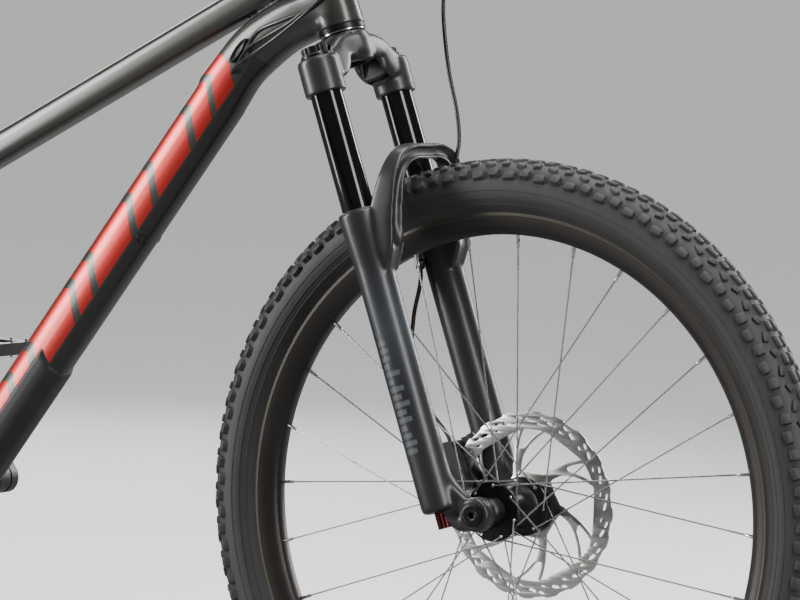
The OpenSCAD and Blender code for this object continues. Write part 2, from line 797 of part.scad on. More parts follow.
module hub(half, left, right, flange_rad, shell_r, bore_r) {
  flange_t = 3.2;
  difference() {
    union() {
      cross_cyl(-right, left, shell_r);
      cross_cyl(left - flange_t / 2, left + flange_t / 2, flange_rad + 4);
      cross_cyl(-right - flange_t / 2, -right + flange_t / 2, flange_rad + 4);
      cross_cyl(-half, half, 11);
      children();
    }
    cross_cyl(-half - 1, half + 1, bore_r + run_gap);
  }
}

module rotor(r, y, hub_r) {
  arms = 10;
  t = 1.8;
  side_plate(y - t / 2, y + t / 2) difference() {
    union() {
      difference() {
        circle(r = r, $fn = 96);
        circle(r = r - 16, $fn = 96);
      }
      circle(r = 28);
      for (k = [0 : arms - 1]) rotate(k * 360 / arms)
        polygon([[24, -5], [r - 10, 22], [r - 10, 30], [20, 5]]);
    }
    circle(r = hub_r);
    for (k = [0 : arms - 1]) rotate(k * 360 / arms) for (q = [0 : 2])
      rotate(q * 9) translate([r - 8, 0]) circle(r = 2.4);
  }
  for (k = [0 : 5]) rotate([0, k * 60 + 30, 0]) translate([22, 0, 0]) cross_cyl(y + t / 2 - 0.2, y + 3, 3.2);
}

front_flange = [27, 33];
front_hub_in = 28;
module front_tyre() color(rubber_black) at_front() tyre();
module front_rim() color(satin_black) at_front() rim();
module front_spokes() color(steel_grey) at_front() spokes(front_flange[0], -front_flange[1], front_hub_in);
module front_hub() {
  color(gloss_black) at_front()
    hub(fork_width / 2 - 0.3, front_flange[0], front_flange[1], front_hub_in, 19, axle_r) {
    cross_cyl(front_flange[0], front_rotor_y - 0.9, 26);
  }
}
module front_rotor() color(steel_grey) at_front() rotor(rotor_front_r, front_rotor_y, 16);

rear_flange = [36, 22];
rear_hub_in = 28;
module rear_tyre() color(rubber_black) at_rear() tyre();
module rear_rim() color(satin_black) at_rear() rim();
module rear_spokes() color(steel_grey) at_rear() spokes(rear_flange[0], -rear_flange[1], rear_hub_in);
module rear_hub() {
  color(gloss_black) at_rear()
    hub(rear_width / 2 - 0.3, rear_flange[0], rear_flange[1], rear_hub_in, 20, rear_axle_r) {
    cross_cyl(rear_flange[0], rear_rotor_y - 0.9, 26);
    cross_cyl(-28, -rear_flange[1], 24);
  }
}
module rear_rotor() color(steel_grey) at_rear() rotor(rotor_rear_r, rear_rotor_y, 16);

// ---------- drive ----------

// Outline of a sprocket: four points to a tooth
function teeth(n, tip, root) = let (r = pitch / 2 / sin(180 / n))
  [for (i = [0 : n - 1], k = [0 : 3]) let (a = (i + [-0.32, -0.12, 0.12, 0.32][k]) * 360 / n,
    q = r + [root, tip, tip, root][k]) q * [cos(a), sin(a)]];

module cassette() {
  color(steel_grey) at_rear() difference() {
    union() {
      for (i = [0 : len(cassette_teeth) - 1]) {
        r = pitch / 2 / sin(180 / cassette_teeth[i]);
        y = cog_first - i * cog_step;
        cross_cyl(y - 0.9, y + 0.9, r + 1.5);
      }
      cross_cyl(-71.5, cog_first, 17);
    }
    cross_cyl(-80, -28.2, 11 + run_gap);
  }
}

module chainring() {
  r = chain_r[1];
  color(satin_black) at_bb() difference() {
    union() {
      side_plate(-chain_line - 0.9, -chain_line + 0.9) polygon(teeth(ring_teeth, 3, -3.5));
      for (k = [0 : 7]) rotate([0, k * 45, 0]) translate([16, -chain_line - 2, -4]) cube([r - 26, 3, 8]);
      cross_cyl(-chain_line - 2, -chain_line + 1, 24);
    }
    cross_cyl(-90, -20, 14.5);
    for (k = [0 : 7]) rotate([0, k * 45 + 22.5, 0]) translate([40, 0, 0]) cross_cyl(-90, -20, 11);
  }
}

arm_in = 68.5;
arm_out = 81;
// Unturned, the left arm points back and the right arm forward
module crank_arm(side) {
  far = -side * crank_l;
  mirror([0, side < 0 ? 1 : 0, 0]) {
    side_plate(arm_in, arm_out) union() {
      circle(r = 19);
      polygon([[0, -19], [far, -13], [far, 13], [0, 19]]);
      translate([far, 0]) circle(r = 13);
    }
    translate([far, 0, 0]) cross_cyl(arm_out, arm_out + 108, 5.5);
  }
}

module crank() {
  color(satin_black) at_bb() {
    rotate([0, crank_turn, 0]) for (side = [-1, 1]) crank_arm(side);
    cross_cyl(-arm_in, arm_in, 14.5);
    cross_cyl(-arm_in, -chain_line - 2, 20);
    cross_cyl(46.5, arm_in, 18);
  }
}

pedal_w = 98;
pedal_l = 100;
module pedal(side) {
  mid = arm_out + 8 + pedal_w / 2;
  at_bb() rotate([0, crank_turn, 0]) translate([-side * crank_l, side * mid, 0])
    rotate([0, -crank_turn, 0]) difference() {
    union() {
      cube([pedal_l, 12, 15], center = true);
      for (s = [-1, 1]) translate([s * (pedal_l / 2 - 6), 0, 0]) cube([12, pedal_w, 15], center = true);
      for (s = [-1, 1]) translate([0, s * (pedal_w / 2 - 6), 0]) cube([pedal_l, 12, 15], center = true);
      cross_cyl(-pedal_w / 2, pedal_w / 2, 8.5);
    }
    cross_cyl(-60, 60, 5.5 + run_gap);
  }
}
module pedal_left() color(satin_black) pedal(1);
module pedal_right() color(satin_black) pedal(-1);

// ---------- seat ----------

rail_up = 30;
module seatpost_inner() {
  color(gloss_black) {
    seat_space() difference() {
      translate([0, 0, 270]) cylinder(h = inner_top - 270, r = post_inner_r);
      translate([0, 0, 269]) cylinder(h = inner_top - 290, r = post_inner_r - 2.5);
    }
    seat_space() translate([0, 0, inner_top]) {
      cylinder(h = 12, r = 15);
      rotate([0, seat_lean, 0]) translate([-22, -19, 9]) cube([44, 38, 10]);
    }
  }
  color(steel_grey) saddle_space() for (s = [-1, 1])
    bent_bar([[-75, s * 36, 26], [-48, s * 22, 2], [48, s * 22, 2], [118, s * 12, 20]], 3.5);
}

module saddle_space() {
  seat_space() translate([0, 0, inner_top]) rotate([0, seat_lean, 0]) translate([2, 0, 19.6]) children();
}

module saddle() {
  color(satin_black) saddle_space() hull() {
    for (s = [-1, 1]) translate([-105, s * 54, 40]) scale([1, 1, 0.55]) sphere(r = 19, $fn = 24);
    for (s = [-1, 1]) translate([-55, s * 46, 42]) scale([1, 1, 0.5]) sphere(r = 18, $fn = 24);
    translate([0, 0, 42]) scale([1, 1.6, 0.5]) sphere(r = 19, $fn = 24);
    translate([128, 0, 40]) scale([1, 1, 0.6]) sphere(r = 19, $fn = 24);
  }
}

// ---------- rear derailleur ----------

module derailleur_linkage() {
  color(gloss_black) at_rear() difference() {
    union() {
      for (at = [b_pivot, p_pivot]) translate(at + [-9, 0, 0]) rotate([0, 90, 0]) cylinder(h = 26, r = 6.5);
      translate([b_pivot.x - 9, b_pivot.y - 6.2, p_pivot.z]) cube([26, 6, b_pivot.z - p_pivot.z]);
    }
    for (at = [b_pivot, p_pivot])
      translate(at + [-15, 0, 0]) rotate([0, 90, 0]) cylinder(h = 38, r = 3 + run_gap);
  }
}

module derailleur_knuckle() {
  color(satin_black) at_rear() {
    ears(p_pivot, -8, 5);
    translate([p_pivot.x - 13, p_pivot.y + 7.6, p_pivot.z - 8]) cube([34, 14, 12]);
    translate([guide_at.x - rear_x + 4, 0, guide_at.y - axle_z + 4]) cross_cyl(-79, -60.5, 17);
  }
}

module derailleur_cage() {
  g = guide_at - [rear_x, axle_z];
  t = tension_at - [rear_x, axle_z];
  color(gloss_black) at_rear() {
    for (y = [-chain_line - 7, -chain_line + 5]) side_plate(y, y + 2) union() {
      translate(g) circle(r = 15);
      translate(t) circle(r = 13);
      polygon([g + [-11, 0], g + [9, 4], t + [9, 4], t + [-9, -4]]);
    }
    for (c = [g, t]) translate([c.x, 0, c.y]) cross_cyl(-chain_line - 6, -chain_line + 6, 3);
    translate([g.x, 0, g.y]) cross_cyl(-60.2, -chain_line - 7, 8);
  }
}

module jockey(centre) {
  color(satin_black) translate([centre.x, 0, centre.y]) difference() {
    side_plate(-chain_line - 0.9, -chain_line + 0.9) polygon(teeth(jockey_teeth, 3, -4));
    cross_cyl(-90, 0, 3 + run_gap);
  }
}
module jockey_guide() jockey(guide_at);
module jockey_tension() jockey(tension_at);

head_tube();
top_tube();
down_tube();
seat_tube();
bb_shell();
chainstays();
seatstays();
downtube_guard();
cable_port();
bearing_cups();
seat_clamp();
seatpost_outer();
rear_caliper();
rear_axle();
derailleur_hanger();
control_lines();
chain();
crown_steerer();
stanchions();
stem();
headset_spacers();
handlebar();
grips();
brake_masters();
shifter_pods();
front_brake_hose();
compression_knob();
brake_blade_left();
brake_blade_right();
shift_paddle_main();
shift_paddle_release();
dropper_paddle();
fork_lowers();
dust_seals();
damper_rods();
front_axle();
front_caliper();
rebound_knob();
front_tyre();
front_rim();
front_spokes();
front_hub();
front_rotor();
rear_tyre();
rear_rim();
rear_spokes();
rear_hub();
rear_rotor();
cassette();
crank();
chainring();
pedal_left();
pedal_right();
seatpost_inner();
saddle();
derailleur_linkage();
derailleur_knuckle();
derailleur_cage();
jockey_guide();
jockey_tension();
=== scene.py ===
import json
import bpy
import bmesh
import numpy as np
from mathutils import Matrix, Vector

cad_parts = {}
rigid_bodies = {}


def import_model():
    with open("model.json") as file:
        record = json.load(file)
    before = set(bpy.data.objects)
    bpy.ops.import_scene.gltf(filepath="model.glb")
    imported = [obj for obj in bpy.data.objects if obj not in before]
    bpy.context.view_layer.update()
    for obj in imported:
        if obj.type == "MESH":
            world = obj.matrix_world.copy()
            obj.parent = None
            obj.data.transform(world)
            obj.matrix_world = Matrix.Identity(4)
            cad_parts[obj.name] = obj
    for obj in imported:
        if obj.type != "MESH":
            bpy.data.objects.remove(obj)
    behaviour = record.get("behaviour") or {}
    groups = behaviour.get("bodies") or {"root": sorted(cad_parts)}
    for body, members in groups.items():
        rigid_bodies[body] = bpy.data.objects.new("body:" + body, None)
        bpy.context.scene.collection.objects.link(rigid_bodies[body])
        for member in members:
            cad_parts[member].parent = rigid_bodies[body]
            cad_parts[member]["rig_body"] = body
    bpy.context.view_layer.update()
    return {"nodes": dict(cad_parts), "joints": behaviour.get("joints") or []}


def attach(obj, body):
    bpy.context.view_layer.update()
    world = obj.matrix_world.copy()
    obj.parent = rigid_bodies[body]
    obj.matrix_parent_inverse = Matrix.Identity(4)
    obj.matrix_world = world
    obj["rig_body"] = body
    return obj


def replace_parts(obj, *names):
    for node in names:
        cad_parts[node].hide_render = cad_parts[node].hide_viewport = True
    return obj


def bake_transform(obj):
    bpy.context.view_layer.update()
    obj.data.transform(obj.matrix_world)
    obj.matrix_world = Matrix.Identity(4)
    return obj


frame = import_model()
nodes = frame["nodes"]
joints = {joint["name"]: joint for joint in frame["joints"]}
print("stage: frame loaded")

mm = 0.001
frontAxle = np.array(joints["front_wheel_spin"]["pos_m"])
rearAxle = np.array(joints["rear_wheel_spin"]["pos_m"])
crankAxis = np.array(joints["crank_spin"]["pos_m"])
steerUp = np.array(joints["steer"]["axis"])
steerFwd = np.array([steerUp[2], 0, -steerUp[0]])
seatUp = np.array(joints["saddle_drop"]["axis"])
seatFwd = np.array([seatUp[2], 0, -seatUp[0]])
sideways = np.array([0, 1.0, 0])
forkOffset = 42                              # steering axis behind the axle, in millimetres
legBack = 39                                 # fork legs behind the axle
legSide = 70
downDir = np.array([0.6, 0, 0.8])            # down tube, from the bottom bracket up
downPerp = np.array([0.8, 0, -0.6])
topDir = np.array([np.sin(np.radians(62.2)), 0, np.cos(np.radians(62.2))])
topPerp = np.array([topDir[2], 0, -topDir[0]])


def placed(points, origin, x, y, z):         # millimetres on three axes, to metres in the row frame
    p = np.asarray(points, float)
    return origin + mm * (p[..., 0:1] * x + p[..., 1:2] * y + p[..., 2:3] * z)


def forkPoint(points):
    return placed(points, frontAxle, steerFwd, sideways, steerUp)


def seatPoint(points):
    return placed(points, crankAxis, seatFwd, sideways, seatUp)


def downPoint(points):
    return placed(points, crankAxis, downPerp, sideways, downDir)


def topPoint(points):
    return placed(points, seatPoint([0, 0, 335]), topPerp, sideways, topDir)


def mirrored(points):
    return np.asarray(points, float) * [1, -1, 1]


# ---- meshes from whole arrays ----

def newObject(name, verts, faces, smoothAngle=35):
    mesh = bpy.data.meshes.new(name)
    mesh.from_pydata(np.asarray(verts, float).tolist(), [], faces)
    work = bmesh.new()
    work.from_mesh(mesh)
    bmesh.ops.recalc_face_normals(work, faces=work.faces)
    work.to_mesh(mesh)
    work.free()
    return objectOf(name, mesh, smoothAngle)


def objectOf(name, mesh, smoothAngle=35):
    mesh.polygons.foreach_set("use_smooth", [True] * len(mesh.polygons))
    if smoothAngle < 180:
        mesh.set_sharp_from_angle(angle=np.radians(smoothAngle))
    made = bpy.data.objects.new(name, mesh)
    bpy.context.scene.collection.objects.link(made)
    return made


# Quads between neighbouring rows and columns of a grid of points; each open end is closed with a fan
def gridFaces(rows, columns, closedAlong=False, closedAround=True, capped=True):
    index = np.arange(rows * columns).reshape(rows, columns)
    if closedAlong:
        index = np.vstack([index, index[:1]])
    if closedAround:
        index = np.hstack([index, index[:, :1]])
    quads = np.stack([index[:-1, :-1], index[:-1, 1:], index[1:, 1:], index[1:, :-1]], -1)
    faces = quads.reshape(-1, 4).tolist()
    if capped and not closedAlong:
        faces += [index[0, :columns][::-1].tolist(), index[-1, :columns].tolist()]
    return faces


def surface(name, grid, closedAlong=False, closedAround=True, capped=True, smoothAngle=35):
    rows, columns = grid.shape[:2]
    faces = gridFaces(rows, columns, closedAlong, closedAround, capped)
    return newObject(name, grid.reshape(-1, 3), faces, smoothAngle)


# A profile of (radius, place along the axis) turned about an axis
def turnedGrid(profile, centre, axis, turns=96):
    axis = np.asarray(axis, float)
    across = np.cross(axis, [0.31, 0.0, 0.95] if abs(axis[1]) > 0.5 else sideways)
    across = across / np.linalg.norm(across)
    other = np.cross(axis, across)
    angle = np.linspace(0, 2 * np.pi, turns, endpoint=False)
    ring = np.cos(angle)[:, None] * across + np.sin(angle)[:, None] * other
    p = np.asarray(profile, float) * mm
    return centre + p[:, None, 0:1] * ring[None] + p[:, None, 1:2] * axis


def turned(name, profile, centre, axis, turns=96, closedProfile=False, smoothAngle=35):
    grid = turnedGrid(profile, centre, axis, turns)
    return surface(name, grid, closedAlong=closedProfile, capped=not closedProfile, smoothAngle=smoothAngle)


# Catmull-Rom curve through points, as one array product
def smoothPath(points, count):
    p = np.asarray(points, float)
    padded = np.vstack([2 * p[0] - p[1], p, 2 * p[-1] - p[-2]])
    s = np.linspace(0, len(p) - 1, count)
    i = np.minimum(s.astype(int), len(p) - 2)
    t = (s - i)[:, None]
    a, b, c, d = padded[i], padded[i + 1], padded[i + 2], padded[i + 3]
    return 0.5 * (2 * b + (c - a) * t + (2 * a - 5 * b + 4 * c - d) * t ** 2
                  + (3 * b - a - 3 * c + d) * t ** 3)


def spread(values, count):                   # values set at equal steps, eased to count places
    v = np.asarray(values, float)
    v = v[:, None] if v.ndim == 1 else v
    return smoothPath(v, count)


# A rounded section carried along a path: half sizes a towards ref and b across it, in metres
def sweptGrid(path, a, b, ref, sides=32, squareness=2.0):
    tangent = np.gradient(path, axis=0)
    tangent /= np.linalg.norm(tangent, axis=1)[:, None]
    ref = np.broadcast_to(np.asarray(ref, float), path.shape)
    n = ref - (ref * tangent).sum(1)[:, None] * tangent
    n /= np.linalg.norm(n, axis=1)[:, None]
    other = np.cross(tangent, n)
    angle = np.linspace(0, 2 * np.pi, sides, endpoint=False)
    power = 2 / squareness
    c = np.sign(np.cos(angle)) * np.abs(np.cos(angle)) ** power
    s = np.sign(np.sin(angle)) * np.abs(np.sin(angle)) ** power
    a = np.broadcast_to(np.asarray(a, float).reshape(-1), len(path))[:, None, None]
    b = np.broadcast_to(np.asarray(b, float).reshape(-1), len(path))[:, None, None]
    return path[:, None] + a * c[None, :, None] * n[:, None] + b * s[None, :, None] * other[:, None]


def swept(name, path, a, b, ref, sides=32, squareness=2.0, smoothAngle=35):
    return surface(name, sweptGrid(path, a, b, ref, sides, squareness), smoothAngle=smoothAngle)


# Copies of a small template solid: origins (n, 3) with axes (n, 3) each
def stamped(name, template, faces, origins, ax, ay, az, smoothAngle=35):
    t = np.asarray(template, float) * mm
    verts = (origins[:, None] + t[None, :, 0:1] * ax[:, None] + t[None, :, 1:2] * ay[:, None]
             + t[None, :, 2:3] * az[:, None])
    steps = np.arange(len(origins)) * len(t)
    allFaces = []
    for size in sorted({len(f) for f in faces}):
        block = np.array([f for f in faces if len(f) == size])
        allFaces += (block[None] + steps[:, None, None]).reshape(-1, size).tolist()
    return newObject(name, verts.reshape(-1, 3), allFaces, smoothAngle)


# Rings of points stacked into a template solid with closed ends
def stackTemplate(rings):
    rings = np.asarray(rings, float)
    return rings.reshape(-1, 3), gridFaces(rings.shape[0], rings.shape[1])


def merged(name, parts):
    verts, faces, start = [], [], 0
    for part in parts:
        co = np.zeros(len(part.data.vertices) * 3)
        part.data.vertices.foreach_get("co", co)
        verts.append(co.reshape(-1, 3))
        faces += [[i + start for i in poly.vertices] for poly in part.data.polygons]
        start += len(part.data.vertices)
        dropMesh(part)
    return newObject(name, np.vstack(verts), faces)


def dropMesh(piece):
    mesh = piece.data
    bpy.data.objects.remove(piece)
    bpy.data.meshes.remove(mesh)


def applied(piece):                          # its modifiers made part of its mesh
    graph = bpy.context.evaluated_depsgraph_get()
    mesh = bpy.data.meshes.new_from_object(piece.evaluated_get(graph))
    old = piece.data
    piece.modifiers.clear()
    piece.data = mesh
    bpy.data.meshes.remove(old)
    return piece


# Overlapping closed solids cast as one skin, with its steps smoothed away
def castTogether(name, parts, voxel, passes=5, blur=0.5):
    whole = merged(name, parts)
    shell = whole.modifiers.new("cast", "REMESH")
    shell.mode = "VOXEL"
    shell.voxel_size = voxel * mm
    soften = whole.modifiers.new("soften", "SMOOTH")
    soften.factor = blur
    soften.iterations = passes
    applied(whole)
    whole.data.polygons.foreach_set("use_smooth", [True] * len(whole.data.polygons))
    return whole


def vertexArray(piece):
    co = np.zeros(len(piece.data.vertices) * 3)
    piece.data.vertices.foreach_get("co", co)
    return co.reshape(-1, 3)


def setVertices(piece, co):
    piece.data.vertices.foreach_set("co", co.reshape(-1))
    piece.data.update()


# Each point moves towards the mean of its neighbours, as far as its weight says
def relaxed(piece, weight, passes):
    co = vertexArray(piece)
    edges = np.zeros(len(piece.data.edges) * 2, int)
    piece.data.edges.foreach_get("vertices", edges)
    a, b = edges.reshape(-1, 2).T
    count = np.bincount(np.concatenate([a, b]), minlength=len(co))[:, None]
    for _ in range(passes):
        total = np.zeros_like(co)
        np.add.at(total, a, co[b])
        np.add.at(total, b, co[a])
        co += weight[:, None] * 0.5 * (total / count - co)
    setVertices(piece, co)
    return piece


# A copy of a CAD piece with its edges rounded
def softened(node, width=0.8, angle=32, segments=2):
    mesh = nodes[node].data.copy()
    work = bmesh.new()
    work.from_mesh(mesh)
    bmesh.ops.remove_doubles(work, verts=work.verts, dist=0.00002)
    bmesh.ops.dissolve_limit(work, angle_limit=np.radians(3), verts=work.verts, edges=work.edges)
    bmesh.ops.recalc_face_normals(work, faces=work.faces)
    work.to_mesh(mesh)
    work.free()
    mesh.materials.clear()
    piece = objectOf(node + "_finished", mesh, 40)
    round_ = piece.modifiers.new("edges", "BEVEL")
    round_.width = width * mm
    round_.segments = segments
    round_.limit_method = "ANGLE"
    round_.angle_limit = np.radians(angle)
    round_.harden_normals = True
    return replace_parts(piece, node)


# Flat outlines with holes, given a thickness along Y and softened edges
def plate(name, outlines, centre, thickness, edge=0.15):
    curve = bpy.data.curves.new(name, "CURVE")
    curve.dimensions = "2D"
    curve.fill_mode = "BOTH"
    curve.extrude = (thickness / 2 - edge) * mm
    curve.bevel_depth = edge * mm
    curve.bevel_resolution = 1
    for outline in outlines:
        line = curve.splines.new("POLY")
        line.points.add(len(outline) - 1)
        flat = np.zeros((len(outline), 4))
        flat[:, :2] = np.asarray(outline) * mm
        flat[:, 3] = 1
        line.points.foreach_set("co", flat.reshape(-1))
        line.use_cyclic_u = True
    holder = bpy.data.objects.new(name, curve)
    bpy.context.scene.collection.objects.link(holder)
    graph = bpy.context.evaluated_depsgraph_get()
    mesh = bpy.data.meshes.new_from_object(holder.evaluated_get(graph))
    bpy.data.objects.remove(holder)
    mesh.transform(Matrix.Translation(Vector(centre)) @ Matrix.Rotation(np.pi / 2, 4, "X"))
    work = bmesh.new()
    work.from_mesh(mesh)
    bmesh.ops.remove_doubles(work, verts=work.verts, dist=0.000004)
    bmesh.ops.recalc_face_normals(work, faces=work.faces)
    work.to_mesh(mesh)
    work.free()
    return objectOf(name, mesh, 40)


# Corners of a closed outline cut twice or more, as whole arrays
def roundCorners(points, passes=3):
    p = np.asarray(points, float)
    for _ in range(passes):
        after = np.roll(p, -1, axis=0)
        p = np.stack([0.75 * p + 0.25 * after, 0.25 * p + 0.75 * after], 1).reshape(-1, p.shape[1])
    return p


def polar(radius, angle):
    return np.stack([radius * np.cos(angle), radius * np.sin(angle)], -1)


# ---- shader helpers ----


def addNode(tree, kind, **settings):
    node = tree.nodes.new(kind)
    for key, value in settings.items():
        setattr(node, key, value)
    return node


def feed(tree, socket, value):               # a link if value is a socket, else a plain number or colour
    if hasattr(value, "is_output"):
        tree.links.new(value, socket)
    else:
        socket.default_value = value


def calc(tree, operation, *values, clamp=False):
    node = addNode(tree, "ShaderNodeMath", operation=operation, use_clamp=clamp)
    for i, value in enumerate(values):
        feed(tree, node.inputs[i], value)
    return node.outputs[0]


def mixColour(tree, factor, a, b):
    node = addNode(tree, "ShaderNodeMix", data_type="RGBA")
    feed(tree, node.inputs["Factor"], factor)
    feed(tree, node.inputs["A"], a)
    feed(tree, node.inputs["B"], b)
    return node.outputs["Result"]


# ---- camera, light and floor ----

viewSettings = {"azimuth": 32.17, "elevation": 4.33, "roll": 2.12, "lens": 161.7,
                "place": (1.9215, -3.2884, 0.5072)}


def setCamera():
    a, e, r = np.radians([viewSettings["azimuth"], viewSettings["elevation"], viewSettings["roll"]])
    back = np.array([np.sin(a) * np.cos(e), -np.cos(a) * np.cos(e), np.sin(e)])
    level = np.array([np.cos(a), np.sin(a), 0])
    above = np.cross(back, level)
    right = np.cos(r) * level + np.sin(r) * above
    turn = Matrix(np.stack([right, np.cross(back, right), back], 1).tolist()).to_4x4()
    lens = bpy.data.cameras.new("camera")
    lens.lens = viewSettings["lens"]
    lens.sensor_width = 36
    camera = bpy.data.objects.new("camera", lens)
    camera.matrix_world = Matrix.Translation(Vector(frontAxle + viewSettings["place"])) @ turn
    bpy.context.scene.collection.objects.link(camera)
    bpy.context.scene.camera = camera


lampSettings = [                             # name, place, aim, width, height, watts
    ("overhead", (0.5, 0.1, 3.0), (0.4, 0, 0.6), 3.4, 1.2, 105),
    ("leftSoftbox", (-2.6, -2.2, 1.5), (0.3, 0, 0.9), 1.0, 2.3, 120),
    ("leftStrip", (-0.95, -1.0, 0.68), (0.45, 0, 0.8), 0.34, 0.9, 11),
    ("rightSoftbox", (2.7, -0.9, 1.5), (0.7, 0, 0.6), 0.7, 2.6, 60),
    ("farStrip", (1.1, 2.8, 1.5), (0.5, 0, 0.6), 0.8, 2.6, 75),
    ("farFill", (-2.2, 2.6, 2.0), (-0.3, 0, 0.6), 1.6, 2.0, 50),
]


def setLights():
    for name, place, aim, width, height, watts in lampSettings:
        light = bpy.data.lights.new(name, "AREA")
        light.shape = "RECTANGLE"
        light.size, light.size_y, light.energy = width, height, watts
        lamp = bpy.data.objects.new(name, light)
        lamp.location = place
        lamp.rotation_euler = (Vector(aim) - Vector(place)).to_track_quat("-Z", "Y").to_euler()
        bpy.context.scene.collection.objects.link(lamp)
    world = bpy.data.worlds.new("studio")
    bpy.context.scene.world = world
    world.use_nodes = True
    tree = world.node_tree
    shine = tree.nodes["Background"]
    seen = tree.nodes.new("ShaderNodeBackground")
    seen.inputs["Color"].default_value = (0.548, 0.548, 0.543, 1)
    shine.inputs["Color"].default_value = (0.11, 0.115, 0.125, 1)
    path = tree.nodes.new("ShaderNodeLightPath")
    mix = tree.nodes.new("ShaderNodeMixShader")
    tree.links.new(path.outputs["Is Camera Ray"], mix.inputs[0])
    tree.links.new(shine.outputs[0], mix.inputs[1])
    tree.links.new(seen.outputs[0], mix.inputs[2])
    tree.links.new(mix.outputs[0], tree.nodes["World Output"].inputs[0])


def setFloor():
    size = 30
    mesh = bpy.data.meshes.new("floor")
    mesh.from_pydata([(-size, -size, 0), (size, -size, 0), (size, size, 0), (-size, size, 0)], [],
                     [(0, 1, 2, 3)])
    floor = bpy.data.objects.new("floor", mesh)
    bpy.context.scene.collection.objects.link(floor)
    pale = bpy.data.materials.new("paleFloor")
    pale.use_nodes = True
    tree = pale.node_tree
    base = tree.nodes["Principled BSDF"]
    base.inputs["Roughness"].default_value = 0.8
    base.inputs["Specular IOR Level"].default_value = 0.1
    base.inputs["Emission Color"].default_value = (1, 1, 0.995, 1)
    path = addNode(tree, "ShaderNodeLightPath")
    seen = path.outputs["Is Camera Ray"]
    tree.links.new(mixColour(tree, seen, (0.20, 0.20, 0.20, 1), (0.74, 0.74, 0.735, 1)),
                   base.inputs["Base Color"])
    tree.links.new(calc(tree, "MULTIPLY", seen, 0.46), base.inputs["Emission Strength"])
    mesh.materials.append(pale)


setCamera()
setLights()
setFloor()
print("stage: camera, light and floor")

# ---- finishes ----


def newGroup(name, inputs, outputs):
    group = bpy.data.node_groups.new(name, "ShaderNodeTree")
    for label, kind, value in inputs:
        socket = group.interface.new_socket(label, in_out="INPUT", socket_type=kind)
        if value is not None:
            socket.default_value = value
    for label, kind in outputs:
        group.interface.new_socket(label, in_out="OUTPUT", socket_type=kind)
    return group, group.nodes.new("NodeGroupInput").outputs, group.nodes.new("NodeGroupOutput").inputs


# Slow patches of a second shade, and a fine grain that also roughens
def makePatina():
    tree, given, out = newGroup("patina", [
        ("Vector", "NodeSocketVector", None), ("Color", "NodeSocketColor", None),
        ("Shade", "NodeSocketColor", None),
        ("Patch Scale", "NodeSocketFloat", 20.0), ("Grain Scale", "NodeSocketFloat", 900.0),
        ("Roughness", "NodeSocketFloat", 0.4), ("Spread", "NodeSocketFloat", 0.1)],
        [("Color", "NodeSocketColor"), ("Roughness", "NodeSocketFloat"), ("Height", "NodeSocketFloat")])
    patch = addNode(tree, "ShaderNodeTexNoise")
    grain = addNode(tree, "ShaderNodeTexNoise")
    for texture, scale, detail in ((patch, given["Patch Scale"], 4), (grain, given["Grain Scale"], 3)):
        tree.links.new(given["Vector"], texture.inputs["Vector"])
        tree.links.new(scale, texture.inputs["Scale"])
        texture.inputs["Detail"].default_value = detail
    amount = calc(tree, "MULTIPLY_ADD", patch.outputs["Fac"], 2.4, -0.7,
                  clamp=True)
    tree.links.new(mixColour(tree, amount, given["Color"], given["Shade"]), out["Color"])
    both = calc(tree, "ADD", patch.outputs["Fac"], grain.outputs["Fac"])
    swing = calc(tree, "MULTIPLY", calc(tree, "SUBTRACT", both, 1.0), given["Spread"])
    tree.links.new(calc(tree, "ADD", given["Roughness"], swing, clamp=True), out["Roughness"])
    tree.links.new(grain.outputs["Fac"], out["Height"])
    return tree


# Fine rings about an axle along Y, as a lathe or a mould leaves them
def makeRings():
    tree, given, out = newGroup("rings", [
        ("Vector", "NodeSocketVector", None), ("Scale", "NodeSocketFloat", 900.0)],
        [("Mask", "NodeSocketFloat")])
    apart = addNode(tree, "ShaderNodeSeparateXYZ")
    tree.links.new(given["Vector"], apart.inputs[0])
    x, y, z = apart.outputs
    square = calc(tree, "ADD", calc(tree, "MULTIPLY", x, x), calc(tree, "MULTIPLY", z, z))
    together = addNode(tree, "ShaderNodeCombineXYZ")
    tree.links.new(calc(tree, "SQRT", square), together.inputs[0])
    tree.links.new(calc(tree, "MULTIPLY", y, 0.15), together.inputs[1])
    lines = addNode(tree, "ShaderNodeTexNoise")
    tree.links.new(together.outputs[0], lines.inputs["Vector"])
    tree.links.new(given["Scale"], lines.inputs["Scale"])
    lines.inputs["Detail"].default_value = 2
    tree.links.new(lines.outputs["Fac"], out["Mask"])
    return tree


patinaGroup = makePatina()
ringsGroup = makeRings()

